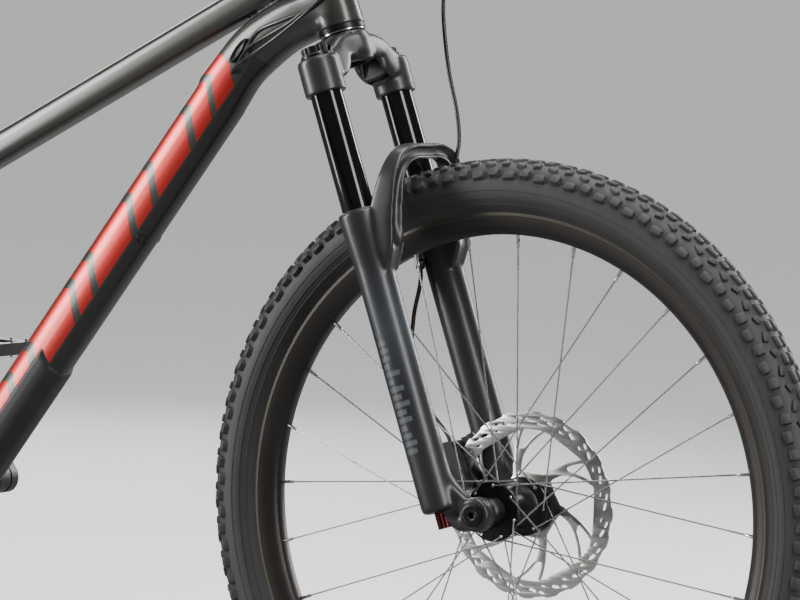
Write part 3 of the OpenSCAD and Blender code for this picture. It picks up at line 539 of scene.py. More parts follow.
finishes = {
    "framePaint": dict(colour=(0.058, 0.058, 0.050), shade=(0.050, 0.050, 0.044), rough=0.30, spread=0.05,
                       metal=0.55, coat=0.35, patch=9, grain=2600, bump=0.015),
    "forkBlack": dict(colour=(0.016, 0.016, 0.017), shade=(0.020, 0.020, 0.021), rough=0.36, spread=0.10,
                      metal=0.0, coat=0.10, patch=14, grain=1900, bump=0.05),
    "anodised": dict(colour=(0.022, 0.022, 0.024), shade=(0.030, 0.030, 0.032), rough=0.34, spread=0.12,
                     metal=0.85, coat=0, patch=30, grain=2400, bump=0.04),
    "stanchionGloss": dict(colour=(0.030, 0.029, 0.029), shade=(0.036, 0.034, 0.033), rough=0.09, spread=0.03,
                           metal=0.9, coat=0.3, patch=20, grain=3000, bump=0.004),
    "blackPlastic": dict(colour=(0.013, 0.013, 0.014), shade=(0.017, 0.017, 0.018), rough=0.46, spread=0.14,
                         metal=0, coat=0, patch=25, grain=1400, bump=0.12),
    "hoseSkin": dict(colour=(0.010, 0.010, 0.011), shade=(0.014, 0.014, 0.015), rough=0.28, spread=0.08,
                     metal=0, coat=0, patch=60, grain=1800, bump=0.03),
    "tyreRubber": dict(colour=(0.022, 0.0215, 0.021), shade=(0.030, 0.029, 0.028), rough=0.62, spread=0.20,
                       metal=0, coat=0, patch=26, grain=1300, bump=0.16, rings=700, ringBump=0.16),
    "gripRubber": dict(colour=(0.015, 0.015, 0.015), shade=(0.020, 0.020, 0.020), rough=0.7, spread=0.15,
                       metal=0, coat=0, patch=40, grain=1500, bump=0.2),
    "rimBlack": dict(colour=(0.034, 0.031, 0.027), shade=(0.040, 0.036, 0.031), rough=0.38, spread=0.10,
                     metal=0.6, coat=0, patch=12, grain=2000, bump=0.04),
    "spokeSteel": dict(colour=(0.62, 0.62, 0.62), shade=(0.52, 0.52, 0.53), rough=0.26, spread=0.1,
                       metal=1, coat=0, patch=50, grain=2500, bump=0.03),
    "rotorSteel": dict(colour=(0.64, 0.62, 0.59), shade=(0.55, 0.53, 0.50), rough=0.30, spread=0.12,
                       metal=1, coat=0, patch=18, grain=1800, bump=0.02, rings=2200, ringBump=0.10),
    "cogSteel": dict(colour=(0.42, 0.42, 0.42), shade=(0.34, 0.34, 0.35), rough=0.28, spread=0.12,
                     metal=1, coat=0, patch=30, grain=2000, bump=0.03),
    "brightSteel": dict(colour=(0.66, 0.66, 0.65), shade=(0.56, 0.56, 0.56), rough=0.18, spread=0.08,
                        metal=1, coat=0, patch=30, grain=2200, bump=0.02),
    "saddleCover": dict(colour=(0.014, 0.014, 0.015), shade=(0.019, 0.019, 0.020), rough=0.55, spread=0.14,
                        metal=0, coat=0, patch=24, grain=1100, bump=0.3),
    "knobRed": dict(colour=(0.060, 0.010, 0.010), shade=(0.045, 0.008, 0.008), rough=0.28, spread=0.1,
                    metal=0.9, coat=0, patch=40, grain=2500, bump=0.02),
}
madeMaterials = {}


def finishMaterial(key, centre=None, decorate=None):
    label = key + ("" if centre is None else "_%d" % round(centre[0] * 1000))
    if label in madeMaterials and decorate is None:
        return madeMaterials[label]
    spec = finishes[key]
    material = bpy.data.materials.new(label)
    material.use_nodes = True
    tree = material.node_tree
    base = tree.nodes["Principled BSDF"]
    where = addNode(tree, "ShaderNodeTexCoord").outputs["Object"]
    patina = addNode(tree, "ShaderNodeGroup", node_tree=patinaGroup)
    tree.links.new(where, patina.inputs["Vector"])
    patina.inputs["Color"].default_value = (*spec["colour"], 1)
    patina.inputs["Shade"].default_value = (*spec["shade"], 1)
    for socket, value in (("Patch Scale", "patch"), ("Grain Scale", "grain"), ("Roughness", "rough"),
                          ("Spread", "spread")):
        patina.inputs[socket].default_value = spec[value]
    colour = patina.outputs["Color"]
    if decorate:
        colour = decorate(tree, where, colour)
    tree.links.new(colour, base.inputs["Base Color"])
    tree.links.new(patina.outputs["Roughness"], base.inputs["Roughness"])
    base.inputs["Metallic"].default_value = spec["metal"]
    base.inputs["Coat Weight"].default_value = spec["coat"]
    base.inputs["Coat Roughness"].default_value = 0.12
    bump = addNode(tree, "ShaderNodeBump")
    bump.inputs["Distance"].default_value = 0.0004
    bump.inputs["Strength"].default_value = spec["bump"]
    tree.links.new(patina.outputs["Height"], bump.inputs["Height"])
    last = bump
    if "rings" in spec and centre is not None:
        shift = addNode(tree, "ShaderNodeMapping")
        shift.inputs["Location"].default_value = (-centre[0], 0, -centre[2])
        tree.links.new(where, shift.inputs["Vector"])
        rings = addNode(tree, "ShaderNodeGroup", node_tree=ringsGroup)
        tree.links.new(shift.outputs[0], rings.inputs["Vector"])
        rings.inputs["Scale"].default_value = spec["rings"]
        last = addNode(tree, "ShaderNodeBump")
        last.inputs["Distance"].default_value = 0.0004
        last.inputs["Strength"].default_value = spec["ringBump"]
        tree.links.new(rings.outputs["Mask"], last.inputs["Height"])
        tree.links.new(bump.outputs["Normal"], last.inputs["Normal"])
    tree.links.new(last.outputs["Normal"], base.inputs["Normal"])
    if decorate is None:
        madeMaterials[label] = material
    return material


def dress(piece, key, body, replaced=(), centre=None, material=None):
    piece.data.materials.clear()
    piece.data.materials.append(material or finishMaterial(key, centre))
    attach(piece, body)
    if replaced:
        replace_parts(piece, *replaced)
    return piece


def dressCad(node, key, width=None, angle=32):   # a CAD piece kept as it is, or with rounded edges
    body = nodes[node]["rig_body"]
    if width is None:
        nodes[node].data.materials.clear()
        nodes[node].data.materials.append(finishMaterial(key))
        return nodes[node]
    return dress(softened(node, width, angle), key, body)


print("stage: finishes")

# ---- shapes shared by the pieces ----


def evenly(points, count):                   # a closed outline walked in equal steps
    p = np.vstack([points, points[:1]])
    gone = np.concatenate([[0], np.cumsum(np.linalg.norm(np.diff(p, axis=0), axis=1))])
    at = np.linspace(0, gone[-1], count, endpoint=False)
    return np.stack([np.interp(at, gone, p[:, k]) for k in range(p.shape[1])], 1)


# Distance from the middle of a star-shaped outline, at each of the given angles
def radiusAt(points, angle):
    p = evenly(points, 1600)
    a = np.arctan2(p[:, 1], p[:, 0])
    order = np.argsort(a)
    return np.interp(angle, a[order], np.hypot(p[order, 0], p[order, 1]), period=2 * np.pi)


# An outline drawn in x and z, given a thickness from side y0 to side y1 and a rim eased by edge
def slab(name, outline, y0, y1, toRow, edge=1.0, smoothAngle=35):
    o = np.asarray(outline, float)
    middle = o.mean(0)
    shrink = 1 - edge / np.abs(o - middle).max()
    rows = []
    for y, k in ((y0, shrink), (y0 + edge, 1), (y1 - edge, 1), (y1, shrink)):
        q = middle + (o - middle) * k
        rows.append(np.stack([q[:, 0], np.full(len(q), y), q[:, 1]], 1))
    return surface(name, toRow(np.array(rows)), smoothAngle=smoothAngle)


def fromForkY(profile, x, side, turns=64, closed=False, name="turned"):
    return turned(name, profile, forkPoint([x, side, 0]), steerUp, turns, closed)


def cutBy(piece, cutters):
    for cutter in cutters:
        cut = piece.modifiers.new("cut", "BOOLEAN")
        cut.operation = "DIFFERENCE"
        cut.solver = "EXACT"
        cut.object = cutter
    applied(piece)
    for cutter in cutters:
        dropMesh(cutter)
    piece.data.polygons.foreach_set("use_smooth", [True] * len(piece.data.polygons))
    piece.data.set_sharp_from_angle(angle=np.radians(40))
    return piece


# ---- frame ----

downOutline = np.array([[-27, -13], [-27, 13], [-16, 25], [19, 25.5], [29, 15.5], [33, 8], [33, -8],
                        [29, -15.5], [19, -25.5], [-16, -25]], float)
neckEdges = [                                # upper edge and lower edge of the tube, in X and Z
    (176, 822, 226, 786), (202, 852, 243, 811), (228, 878, 262, 829), (262, 900, 294, 853),
    (300, 919, 326, 868), (340, 933, 350, 884)]


def downTubeGrid():
    angle = np.linspace(0, 2 * np.pi, 120, endpoint=False)
    unit = np.stack([np.cos(angle), np.sin(angle)], 1)
    shape = (downOutline - [3, 0]) / [30, 26]
    flat = radiusAt(roundCorners(shape, 2), angle)[:, None] * unit
    soft = (np.abs(unit[:, :1]) ** 2.6 + np.abs(unit[:, 1:]) ** 2.6) ** (-1 / 2.6) * unit
    along = np.linspace(18, 585, 70)
    middle = downPoint(np.stack([np.full(70, 3.0), np.zeros(70), along], 1))
    half = np.full(70, 30.0)
    lean = np.repeat(downPerp[None], 70, 0)
    e = spread(neckEdges, 60) * mm
    upper = np.stack([e[:, 0], np.zeros(60), e[:, 1]], 1)
    lower = np.stack([e[:, 2], np.zeros(60), e[:, 3]], 1)
    gap = np.linalg.norm(lower - upper, axis=1)
    middle = np.vstack([middle, (upper + lower) / 2])
    half = np.concatenate([half, gap / 2 / mm])
    lean = np.vstack([lean, (lower - upper) / gap[:, None]])
    melt = np.clip((np.arange(130) - 85) / 35, 0, 1)[:, None, None]
    ring = flat[None] * (1 - melt) + soft[None] * melt
    return (middle[:, None] + mm * half[:, None, None] * ring[..., :1] * lean[:, None]
            + mm * 25.7 * ring[..., 1:] * sideways)


topSettings = {"start": 12, "end": 640, "half": (18, 20), "endHalf": (17.5, 20), "square": 3.1}


def topTubeGrid():
    s = topSettings
    along = np.linspace(s["start"], s["end"], 60)
    path = topPoint(np.stack([np.zeros(60), np.zeros(60), along], 1))
    a = np.linspace(s["half"][0], s["endHalf"][0], 60) * mm
    b = np.linspace(s["half"][1], s["endHalf"][1], 60) * mm
    return sweptGrid(path, a, b, topPerp, 96, s["square"])


def bakeFrameFront():
    centre = forkPoint([-forkOffset, 0, 0])
    head = turned("head", [(0, 555), (26.0, 555), (26.5, 555.6), (26.3, 562), (25.6, 590), (25.2, 625),
                           (24.6, 655), (24.4, 662.4), (23.8, 663), (0, 663)], centre, steerUp, 128)
    down = surface("down", downTubeGrid())
    top = surface("top", topTubeGrid())
    whole = castTogether("frameFront", [head, down, top], 1.85, 4, 0.5)
    co = vertexArray(whole)
    rel = (co - centre) / mm
    height = rel @ steerUp
    off = np.linalg.norm(rel - height[:, None] * steerUp, axis=1)
    ends = np.clip((height - 557) / 8, 0, 1) * np.clip((661 - height) / 6, 0, 1)
    nearHead = np.exp(-((off - 30) / 15) ** 2) * ends * (rel @ steerFwd < 6)
    relaxed(whole, np.clip(nearHead * 1.2, 0, 1), 60)
    return whole


blockEnds = [80, 150, 164, 196, 210, 292, 306, 332, 346, 420, 434, 466, 480, 548, 562, 594, 606, 640]


# Slanted red blocks on the upper facets of the down tube, and painted shade that darkens the lower facet
# towards near-black
def frameBlocksAndShade(tree, where, colour):
    def along(axis, origin):
        dot = addNode(tree, "ShaderNodeVectorMath", operation="DOT_PRODUCT")
        tree.links.new(where, dot.inputs[0])
        dot.inputs[1].default_value = tuple(axis)
        return calc(tree, "SUBTRACT", dot.outputs["Value"], float(np.dot(axis, origin)))
    up = along(downDir, crankAxis)
    across = along(downPerp, crankAxis)
    apart = addNode(tree, "ShaderNodeSeparateXYZ")
    tree.links.new(where, apart.inputs[0])
    side = calc(tree, "ABSOLUTE", apart.outputs[1])
    fold = calc(tree, "ABSOLUTE", calc(tree, "ADD", across, 0.0125))
    slant = calc(tree, "ADD", up, calc(tree, "MULTIPLY", fold, 0.85))
    ramp = addNode(tree, "ShaderNodeValToRGB")
    ramp.color_ramp.interpolation = "CONSTANT"
    ramp.color_ramp.elements[0].position = 0
    ramp.color_ramp.elements[0].color = (0, 0, 0, 1)
    ramp.color_ramp.elements.remove(ramp.color_ramp.elements[1])
    for i, end in enumerate(blockEnds):
        stop = ramp.color_ramp.elements.new(end / 700)
        stop.color = (1, 1, 1, 1) if i % 2 == 0 else (0, 0, 0, 1)
    tree.links.new(calc(tree, "DIVIDE", slant, 0.7), ramp.inputs["Fac"])
    inside = calc(tree, "MULTIPLY", calc(tree, "GREATER_THAN", across, -0.0262),
                  calc(tree, "LESS_THAN", across, 0.0192))
    inside = calc(tree, "MULTIPLY", inside, calc(tree, "GREATER_THAN", side, 0.0095))
    inside = calc(tree, "MULTIPLY", inside, calc(tree, "LESS_THAN", up, 0.632))
    red = calc(tree, "MULTIPLY", ramp.outputs["Color"], inside)
    # painted shade: the down tube's lower facet, on the underside away from the lamps, mixed 60% towards
    # near-black
    low = calc(tree, "MULTIPLY", calc(tree, "GREATER_THAN", across, 0.0205),
               calc(tree, "LESS_THAN", up, 0.66))
    paintedUndersideShade = mixColour(tree, calc(tree, "MULTIPLY", low, 0.6), colour, (0.016, 0.016, 0.015, 1))
    return mixColour(tree, red, paintedUndersideShade, (0.42, 0.022, 0.016, 1))


frameFront = bakeFrameFront()
dress(frameFront, "framePaint", "frame", ("head_tube", "down_tube", "top_tube"),
      material=finishMaterial("framePaint", decorate=frameBlocksAndShade))
print("stage: frame front")

dropoutOutline = [[-8, -15], [34, -18], [52, -10], [52, 8], [30, 16], [42, 32], [26, 42], [-6, 16],
                  [-15, 8], [-17, 0], [-15, -8]]
stayRoute = [[-238, 14, 640], [-276, 44, 608], [-320, 50, 575], [-440, 65, 490], [-556, 79, 406]]
chainstayRoute = [[-14, 26, 0, 9], [-45, 38, 0, 6.6], [-80, 42.4, 0, 6.2], [-110, 46, 0, 7],
                  [-245, 58.5, 0, 8.5],
                  [-325, 68.5, 0, 8.5], [-392, 78.5, 0, 6]]


def bakeFrameRear():
    parts = [turned("tube", [(15.6, 60), (15.6, 385), (17.5, 385), (17.5, 18), (0.01, 18), (0.01, 60)],
                    crankAxis, seatUp, 96, closedProfile=True),
             turned("shell", [(17.5, -36.5), (21.5, -36.5), (22, -36), (22, 36), (21.5, 36.5), (17.5, 36.5)],
                    crankAxis, sideways, 96, closedProfile=True)]
    six = np.radians(6)
    stayX, stayZ = np.array([np.cos(six), 0, -np.sin(six)]), np.array([np.sin(six), 0, np.cos(six)])
    route = spread(chainstayRoute, 70)
    upper = smoothPath(np.array(stayRoute) * mm, 80)
    for side in (1, -1):
        path = placed(route[:, :3] * [1, side, 1], crankAxis, stayX, sideways, stayZ)
        height = np.interp(route[:, 0], [-392, -300, -60, -14], [7.5, 8.5, 8.8, 14]) * mm
        parts.append(swept("stay", path, height, route[:, 3] * mm, stayZ, 40, 3.2))
        parts.append(swept("upper", upper * [1, side, 1], 7.6 * mm, 7.6 * mm, (0, 1, 0), 32))
        ends = sorted((side * 74.2, side * 84))
        parts.append(slab("end", roundCorners(dropoutOutline, 2), ends[0], ends[1],
                          lambda p: placed(p, rearAxle, np.array([1.0, 0, 0]), sideways,
                                           np.array([0, 0, 1.0]))))
    whole = castTogether("frameRear", parts, 1.7, 5, 0.5)
    co = vertexArray(whole)
    joins = crankAxis + mm * np.array([[-30, 32, 4], [-30, -32, 4], [-372, 76, 42], [-372, -76, 42],
                                       [-380, 78, 66], [-380, -78, 66], [-88, 14, 305], [-88, -14, 305]])
    near = np.exp(-(np.linalg.norm(co[:, None] - joins[None], axis=2).min(1) / 0.020) ** 2)
    return relaxed(whole, near, 25)


frameRear = bakeFrameRear()
dress(frameRear, "framePaint", "frame", ("seat_tube", "bb_shell", "chainstays", "seatstays"))
print("stage: frame rear")


# A thin shell outside the tube's lower half, easing away at its ends
def guardGrid():
    rows = 46
    angle = np.linspace(-1.62, 1.62, 60)
    shape = (downOutline - [3, 0])
    radius = radiusAt(roundCorners(shape, 2), angle)
    along = np.linspace(28, 214, rows)
    ease = np.sqrt(np.clip(np.minimum(along - 28, 214 - along) / 7, 0, 1))[:, None]
    side = np.sqrt(np.clip((1.62 - np.abs(angle)) / 0.10, 0, 1))[None]
    slant = (14 * np.cos(angle))[None] * (along[:, None] > 180) * ((along[:, None] - 180) / 34)
    out = radius[None] + 0.25 + 2.3 * ease * side
    inner = np.repeat(radius[None] - 0.6, rows, 0)
    ring = []
    for r in (out, inner[:, ::-1]):
        a = np.repeat((angle if r is out else angle[::-1])[None], rows, 0)
        lift = slant if r is out else slant[:, ::-1]
        ring.append(np.stack([3 + r * np.cos(a), r * np.sin(a), np.repeat(along[:, None], 60, 1) - lift], -1))
    return downPoint(np.concatenate(ring, 1))


dress(surface("tubeGuard", guardGrid()), "blackPlastic", "frame", ("downtube_guard",))


# Rim around the opening where the cables go in, with a rubber inside
def portPiece():
    outline = polar(1, np.linspace(0, 2 * np.pi, 40, endpoint=False)) * [4.6, 17]
    rows = [outline * k for k in (1.0, 1.0, 0.86, 0.78, 0.5)]
    depth = [-25.2, -28.6, -29.4, -28.6, -27.0]
    grid = np.array([np.stack([o[:, 0] + 2, np.full(40, d), o[:, 1] + 652], 1) for o, d in zip(rows, depth)])
    return surface("cablePort", downPoint(grid))


dress(portPiece(), "blackPlastic", "frame", ("cable_port",))
boltProfile = [(0, -2), (6.6, -2), (6.6, 1.6), (6.0, 2.3), (4.4, 2.6), (4.0, 2.0), (2.2, 1.9), (2.0, 0.8),
               (0, 0.8)]
for side in (-1, 1):
    away = downPoint([24.6, side * 17.2, 400]) - downPoint([24.6 - 14.5, side * 17.2 - side * 13.6, 400])
    away = away / np.linalg.norm(away)
    dress(turned("sideBolt%d" % (side > 0), boltProfile, downPoint([25.6, side * 15.4, 400]), away, 48),
          "anodised", "frame")
for place in (250, 314):
    dress(turned("bottleBolt%d" % place, boltProfile, downPoint([-26.6, 0, place]), -downPerp, 32),
          "anodised", "frame")


def cups():
    centre = forkPoint([-forkOffset, 0, 0])
    low = turned("lowerRace", [(20.3, 549.2), (25.2, 549.2), (25.8, 549.8), (25.8, 554.8), (20.3, 554.8)],
                 centre, steerUp, 96, True)
    dress(low, "anodised", "frame", ("bearing_cups",))
    ring = turned("raceRing", [(20.3, 547.2), (24.6, 547.2), (25.0, 547.6), (25.0, 548.8), (24.6, 549.1),
                               (20.3, 549.1)],
                  centre, steerUp, 96, True)
    dress(ring, "brightSteel", "frame")
    high = turned("upperCup", [(14.6, 663), (24, 663), (24.2, 664), (24, 667), (22.4, 671), (21, 672),
                               (14.6, 672)],
                  centre, steerUp, 96, True)
    dress(high, "anodised", "frame")
    for side in (-1, 1):
        cup = [(14.8, 24), (17.3, 24), (17.3, 36.6), (21.2, 36.6), (21.5, 37), (21.5, 44.6), (20.6, 45.5),
               (14.8, 45.5)]
        dress(turned("crankCup%d" % (side > 0), cup, crankAxis, side * sideways, 64, True), "anodised",
              "frame")


cups()
dressCad("seat_clamp", "anodised", 1.0)
dressCad("rear_axle", "anodised", 0.6)
dressCad("derailleur_hanger", "anodised", 0.8)
dressCad("rear_caliper", "forkBlack", 1.6)
outerPost = [(12.6, 165), (15.4, 165), (15.4, 436), (17.6, 436), (18, 436.5), (18, 450), (16.6, 452),
             (12.6, 452)]
dress(turned("postOuter", outerPost, crankAxis, seatUp, 96, True), "anodised", "frame", ("seatpost_outer",))
print("stage: frame fittings")

# ---- fork ----

archDir = np.array([np.sin(np.radians(22)), 0, np.cos(np.radians(22))])
archDepth = np.array([archDir[2], 0, -archDir[0]])


def archPoint(points):                       # x is depth, y sideways, z height in the arch's own plane
    p = np.asarray(points, float)
    x = p[..., 0:1] * archDepth + p[..., 2:3] * archDir
    return forkPoint(np.concatenate([x[..., 0:1] - 18, p[..., 1:2], x[..., 2:3] + 310], -1))


# The arch's section: a bar with a scooped front face, carried from one leg over the wheel to the other
archHalf = [                                 # sideways, height, half width, half depth
    (67, -34, 13, 13), (68, -10, 14, 17.5), (68, 14, 13.5, 17), (66.5, 38, 12.5, 14.4),
    (61, 64, 11.5, 11.2), (48, 84, 10, 9.4),
    (28, 91.6, 8.6, 9), (0, 92.2, 8.2, 9)]


def archGrid():
    half = np.array(archHalf, float)
    whole = np.vstack([half, (half * [-1, 1, 1, 1])[-2::-1]])
    way = spread(whole, 121)
    path, wide, deep = way[:, :2], way[:, 2], way[:, 3] / 9
    step = np.gradient(path, axis=0)
    step /= np.linalg.norm(step, axis=1)[:, None]
    out = np.stack([step[:, 1], -step[:, 0]], 1)
    bar = roundCorners([[-0.62, 9], [-0.44, 4.4], [0.44, 4.4], [0.62, 9], [0.86, 9], [1, 7], [1, -7],
                        [0.86, -9],
                        [-0.86, -9], [-1, -7], [-1, 7], [-0.86, 9]], 2)
    plain = roundCorners([[-0.62, 9], [-0.44, 8.6], [0.44, 8.6], [0.62, 9], [0.86, 9], [1, 7], [1, -7],
                          [0.86, -9],
                          [-0.86, -9], [-1, -7], [-1, 7], [-0.86, 9]], 2)
    low = np.clip((way[:, 1] + 8) / 22, 0, 1)[:, None, None]
    section = bar[None] * low + plain[None] * (1 - low)
    flat = path[:, None] + section[..., :1] * wide[:, None, None] * out[:, None]
    return archPoint(np.concatenate([section[..., 1:] * deep[:, None, None], flat], -1))


legProfile = [(0, 14), (17.5, 14), (19.6, 15), (20.4, 18), (20.6, 40), (20.3, 120), (20.3, 220), (20.7, 285),
              (22.2, 312), (23.2, 330), (23.4, 341), (22.9, 344.6), (22.4, 345), (0, 345)]
footBranch = [(-37, 70), (-33, 52), (-24, 32), (-12, 14), (-2, 2)]
footHeel = [(-39, 20), (-30, 5), (-18, -6), (-4, -6)]


def bakeLowers():
    parts = [surface("arch", archGrid())]
    for side in (1, -1):
        parts.append(fromForkY(legProfile, -legBack, side * legSide, 96))
        branch, heel = spread(footBranch, 30), spread(footHeel, 24)
        pathA = forkPoint(np.stack([branch[:, 0], np.full(30, side * 65.2), branch[:, 1]], 1))
        pathB = forkPoint(np.stack([heel[:, 0], np.full(24, side * 66.0), heel[:, 1]], 1))
        parts.append(swept("branch", pathA, np.linspace(13, 9.5, 30) * mm, np.linspace(11, 9.6, 30) * mm,
                           steerFwd, 32, 2.8))
        parts.append(swept("heel", pathB, np.linspace(9, 8, 24) * mm, np.linspace(10, 9, 24) * mm, steerFwd,
                           32, 2.8))
        ends = sorted((side * 60.5, side * 69.5))
        web = roundCorners([(-46, 60), (-46, 12), (-26, -4), (-4, -14), (4, 10), (-20, 40), (-30, 62)], 1)
        parts.append(slab("web", web, ends[0], ends[1], forkPoint))
        boss = [(0, 55.2), (15.6, 55.2), (17.4, 56), (18.4, 59), (18.4, 70), (17.4, 73.6), (15.8, 75),
                (0, 75)]
        parts.append(turned("boss", boss, frontAxle, side * sideways, 72))
    for u in (36, 88):                       # posts for the front caliper, behind the left leg
        parts.append(swept("post", forkPoint(np.array([[-44, 62, u], [-52, 57, u], [-58.5, 52, u]])),
                           7 * mm, 7 * mm,
                           (0, 0, 1), 24))
    whole = castTogether("forkLowers", parts, 1.45, 4, 0.5)
    co = vertexArray(whole) - frontAxle
    x, y, u = (co @ steerFwd) / mm, np.abs(co[:, 1]) / mm, (co @ steerUp) / mm
    foot = np.clip((78 - u) / 12, 0, 1) * (np.hypot(x, u) > 19.5)
    root = np.exp(-((u - 322) / 22) ** 2) * (np.hypot(x + legBack, y - legSide) > 21.5) * (u < 342)
    root2 = np.exp(-((np.hypot(x + legBack, y - legSide) - 24) / 6) ** 2) * np.exp(-((u - 300) / 26) ** 2)
    relaxed(whole, np.clip(foot + root + root2, 0, 1), 26)
    cutters = []
    for side in (1, -1):
        cutters.append(fromForkY([(0, 45), (17.56, 45), (17.56, 360), (0, 360)], -legBack, side * legSide,
                                 80))
        relief = [(0, 345.4), (23.4, 345.4), (23.4, 362), (0, 362)]   # room for the crown at full travel
        cutters.append(fromForkY(relief, -legBack, side * legSide, 80))
    cutters.append(turned("bore", [(0, -100), (7.55, -100), (7.55, 100), (0, 100)], frontAxle, sideways, 64))
    cutters.append(fromForkY([(0, -30), (8.5, -30), (8.5, 14.2), (0, 14.2)], -legBack, -legSide, 48))
    return cutBy(whole, cutters)


# A cool patch that fades down the right leg, and short bars below it
def legMarks(tree, where, colour):
    def along(axis, origin):
        dot = addNode(tree, "ShaderNodeVectorMath", operation="DOT_PRODUCT")
        tree.links.new(where, dot.inputs[0])
        dot.inputs[1].default_value = tuple(axis)
        return calc(tree, "SUBTRACT", dot.outputs["Value"], float(np.dot(axis, origin)))
    up = along(steerUp, frontAxle)
    right = along(-sideways, frontAxle)
    fwd = along(steerFwd, frontAxle)
    face = calc(tree, "ADD", calc(tree, "SUBTRACT", right, 0.070),
                calc(tree, "MULTIPLY", calc(tree, "ADD", fwd, 0.039), 0.6))
    shown = calc(tree, "GREATER_THAN", face, 0.0115)
    bars = calc(tree, "GREATER_THAN", calc(tree, "FRACT", calc(tree, "DIVIDE", up, 0.0085)), 0.36)
    noise = addNode(tree, "ShaderNodeTexWhiteNoise", noise_dimensions="1D")
    tree.links.new(calc(tree, "FLOOR", calc(tree, "DIVIDE", up, 0.0085)), noise.inputs["W"])
    reach = calc(tree, "ADD", calc(tree, "MULTIPLY", noise.outputs["Value"], 0.012), -0.002)
    short = calc(tree, "LESS_THAN", calc(tree, "ADD", fwd, 0.039), reach)
    zone = calc(tree, "MULTIPLY", calc(tree, "GREATER_THAN", up, 0.078), calc(tree, "LESS_THAN", up, 0.206))
    marks = calc(tree, "MULTIPLY", calc(tree, "MULTIPLY", bars, short), calc(tree, "MULTIPLY", zone, shown))
    fade = calc(tree, "SUBTRACT", 1.0, calc(tree, "ABSOLUTE", calc(tree, "DIVIDE", calc(tree, "SUBTRACT",
        up, 0.215), 0.075)), clamp=True)
    glow = calc(tree, "MULTIPLY", calc(tree, "MULTIPLY", fade, shown), 0.55)
    first = mixColour(tree, glow, colour, (0.040, 0.052, 0.062, 1))
    return mixColour(tree, calc(tree, "MULTIPLY", marks, 0.85), first, (0.085, 0.098, 0.105, 1))


forkLowers = bakeLowers()
dress(forkLowers, "forkBlack", "fork_lower", ("fork_lowers",),
      material=finishMaterial("forkBlack", decorate=legMarks))
print("stage: fork lowers")

sealProfile = [(17.6, 343.6), (22.2, 343.6), (22.6, 344.1), (22.6, 345.2), (22.0, 346.0), (20.4, 346.6),
               (19.0, 347.2),
               (18.0, 347.3), (17.6, 346.9)]
for side in (1, -1):
    seal = fromForkY(sealProfile, -legBack, side * legSide, 96, True, "dustSeal%d" % (side > 0))
    dress(seal, "blackPlastic", "fork_lower", ("dust_seals",))
dressCad("damper_rods", "brightSteel")
dressCad("rebound_knob", "knobRed", 0.5)
dressCad("front_caliper", "forkBlack", 1.8)


# Radius of a hexagon of that half width, at each angle
def hexRadius(flat, angle):
    return flat / np.cos((angle + np.pi / 6) % (np.pi / 3) - np.pi / 6)


def axleGrid():
    angle = np.linspace(0, 2 * np.pi, 96, endpoint=False)
    rows = [(None, -60), (None, -78.6), (None, -79.2), (4.4, -79.6), (7.2, -79.6), (7.6, -79.1),
            (8.4, -79.1), (8.8, -79.7),
            (10.6, -79.7), (11.6, -79.2), (12, -78.4), (12, -75.4), (7.5, -75.2), (7.5, 75.6), (6.6, 76.4),
            (0.02, 76.4)]
    radius = np.array([hexRadius(3.0 + (0.5 if y == -79.2 else 0), angle) if r is None else np.full(96,
        r) for r, y in rows])
    y = np.array([row[1] for row in rows], float)[:, None] * np.ones(96)
    return frontAxle + mm * np.stack([radius * np.cos(angle), y, radius * np.sin(angle)], -1)


dress(surface("frontAxlePiece", axleGrid()), "anodised", "fork_lower", ("front_axle",),
      centre=tuple(frontAxle))
footNut = [(0, 7), (7.8, 7), (8.6, 7.8), (8.6, 14), (0, 14)]
dress(fromForkY(footNut, -legBack, legSide, 6, False, "footNut"), "anodised", "fork_lower")

crownRows = [                                # place sideways, underside, top, half depth
    (-74, 494, 512, 15), (-70, 490, 517, 20), (-58, 490, 528, 21.5), (-48, 494, 535, 22),
    (-38, 510, 541, 22.5),
    (-20, 515, 545, 24), (0, 515, 546, 25), (20, 515, 545, 24), (38, 510, 541, 22.5), (48, 494, 535, 22),
    (58, 490, 528, 21.5), (70, 490, 517, 20), (74, 494, 512, 15)]


def bakeCrown():
    r = spread(crownRows, 90)
    path = forkPoint(np.stack([np.full(90, -legBack - 1.0), r[:, 0], (r[:, 1] + r[:, 2]) / 2], 1))
    parts = [swept("bridge", path, (r[:, 2] - r[:, 1]) / 2 * mm, r[:, 3] * mm, steerUp, 64, 3.4)]
    for side in (1, -1):
        clamp = [(0, 478), (21.4, 478), (22.4, 479), (22.6, 482), (22.6, 513), (21.8, 517), (20.6, 518),
                 (0, 518)]
        parts.append(fromForkY(clamp, -legBack, side * legSide, 96))
    seat = [(0, 512), (24, 513), (28, 520), (28, 538), (26.5, 544), (25, 546), (0, 546)]
    parts.append(fromForkY(seat, -forkOffset, 0, 96))
    whole = castTogether("crown", parts, 1.2, 5, 0.5)
    co = vertexArray(whole) - frontAxle
    x, y, u = (co @ steerFwd) / mm, np.abs(co[:, 1]) / mm, (co @ steerUp) / mm
    ring = np.hypot(x + legBack, y - legSide)
    weight = np.exp(-((ring - 25) / 6) ** 2) + np.exp(-((np.hypot(x + forkOffset, y) - 30) / 7) ** 2)
    relaxed(whole, np.clip(weight, 0, 1) * (u < 543) * (u > 481), 14)
    cutters = []
    for side in (1, -1):
        cutters.append(fromForkY([(0, 470), (17.5, 470), (17.5, 530), (0, 530)], -legBack, side * legSide,
                                 80))
        for y0, y1, deep in ((24, 36, 527), (39, 46.5, 522)):
            box = roundCorners([(-15, 480), (15, 480), (13, deep), (-13, deep)], 2) + [-legBack, 0]
            ends = sorted((side * y0, side * y1))
            cutters.append(slab("pocket", box, ends[0], ends[1], forkPoint))
    cutters.append(fromForkY([(0, 500), (15.9, 500), (15.9, 560), (0, 560)], -forkOffset, 0, 64))
    return cutBy(whole, cutters)


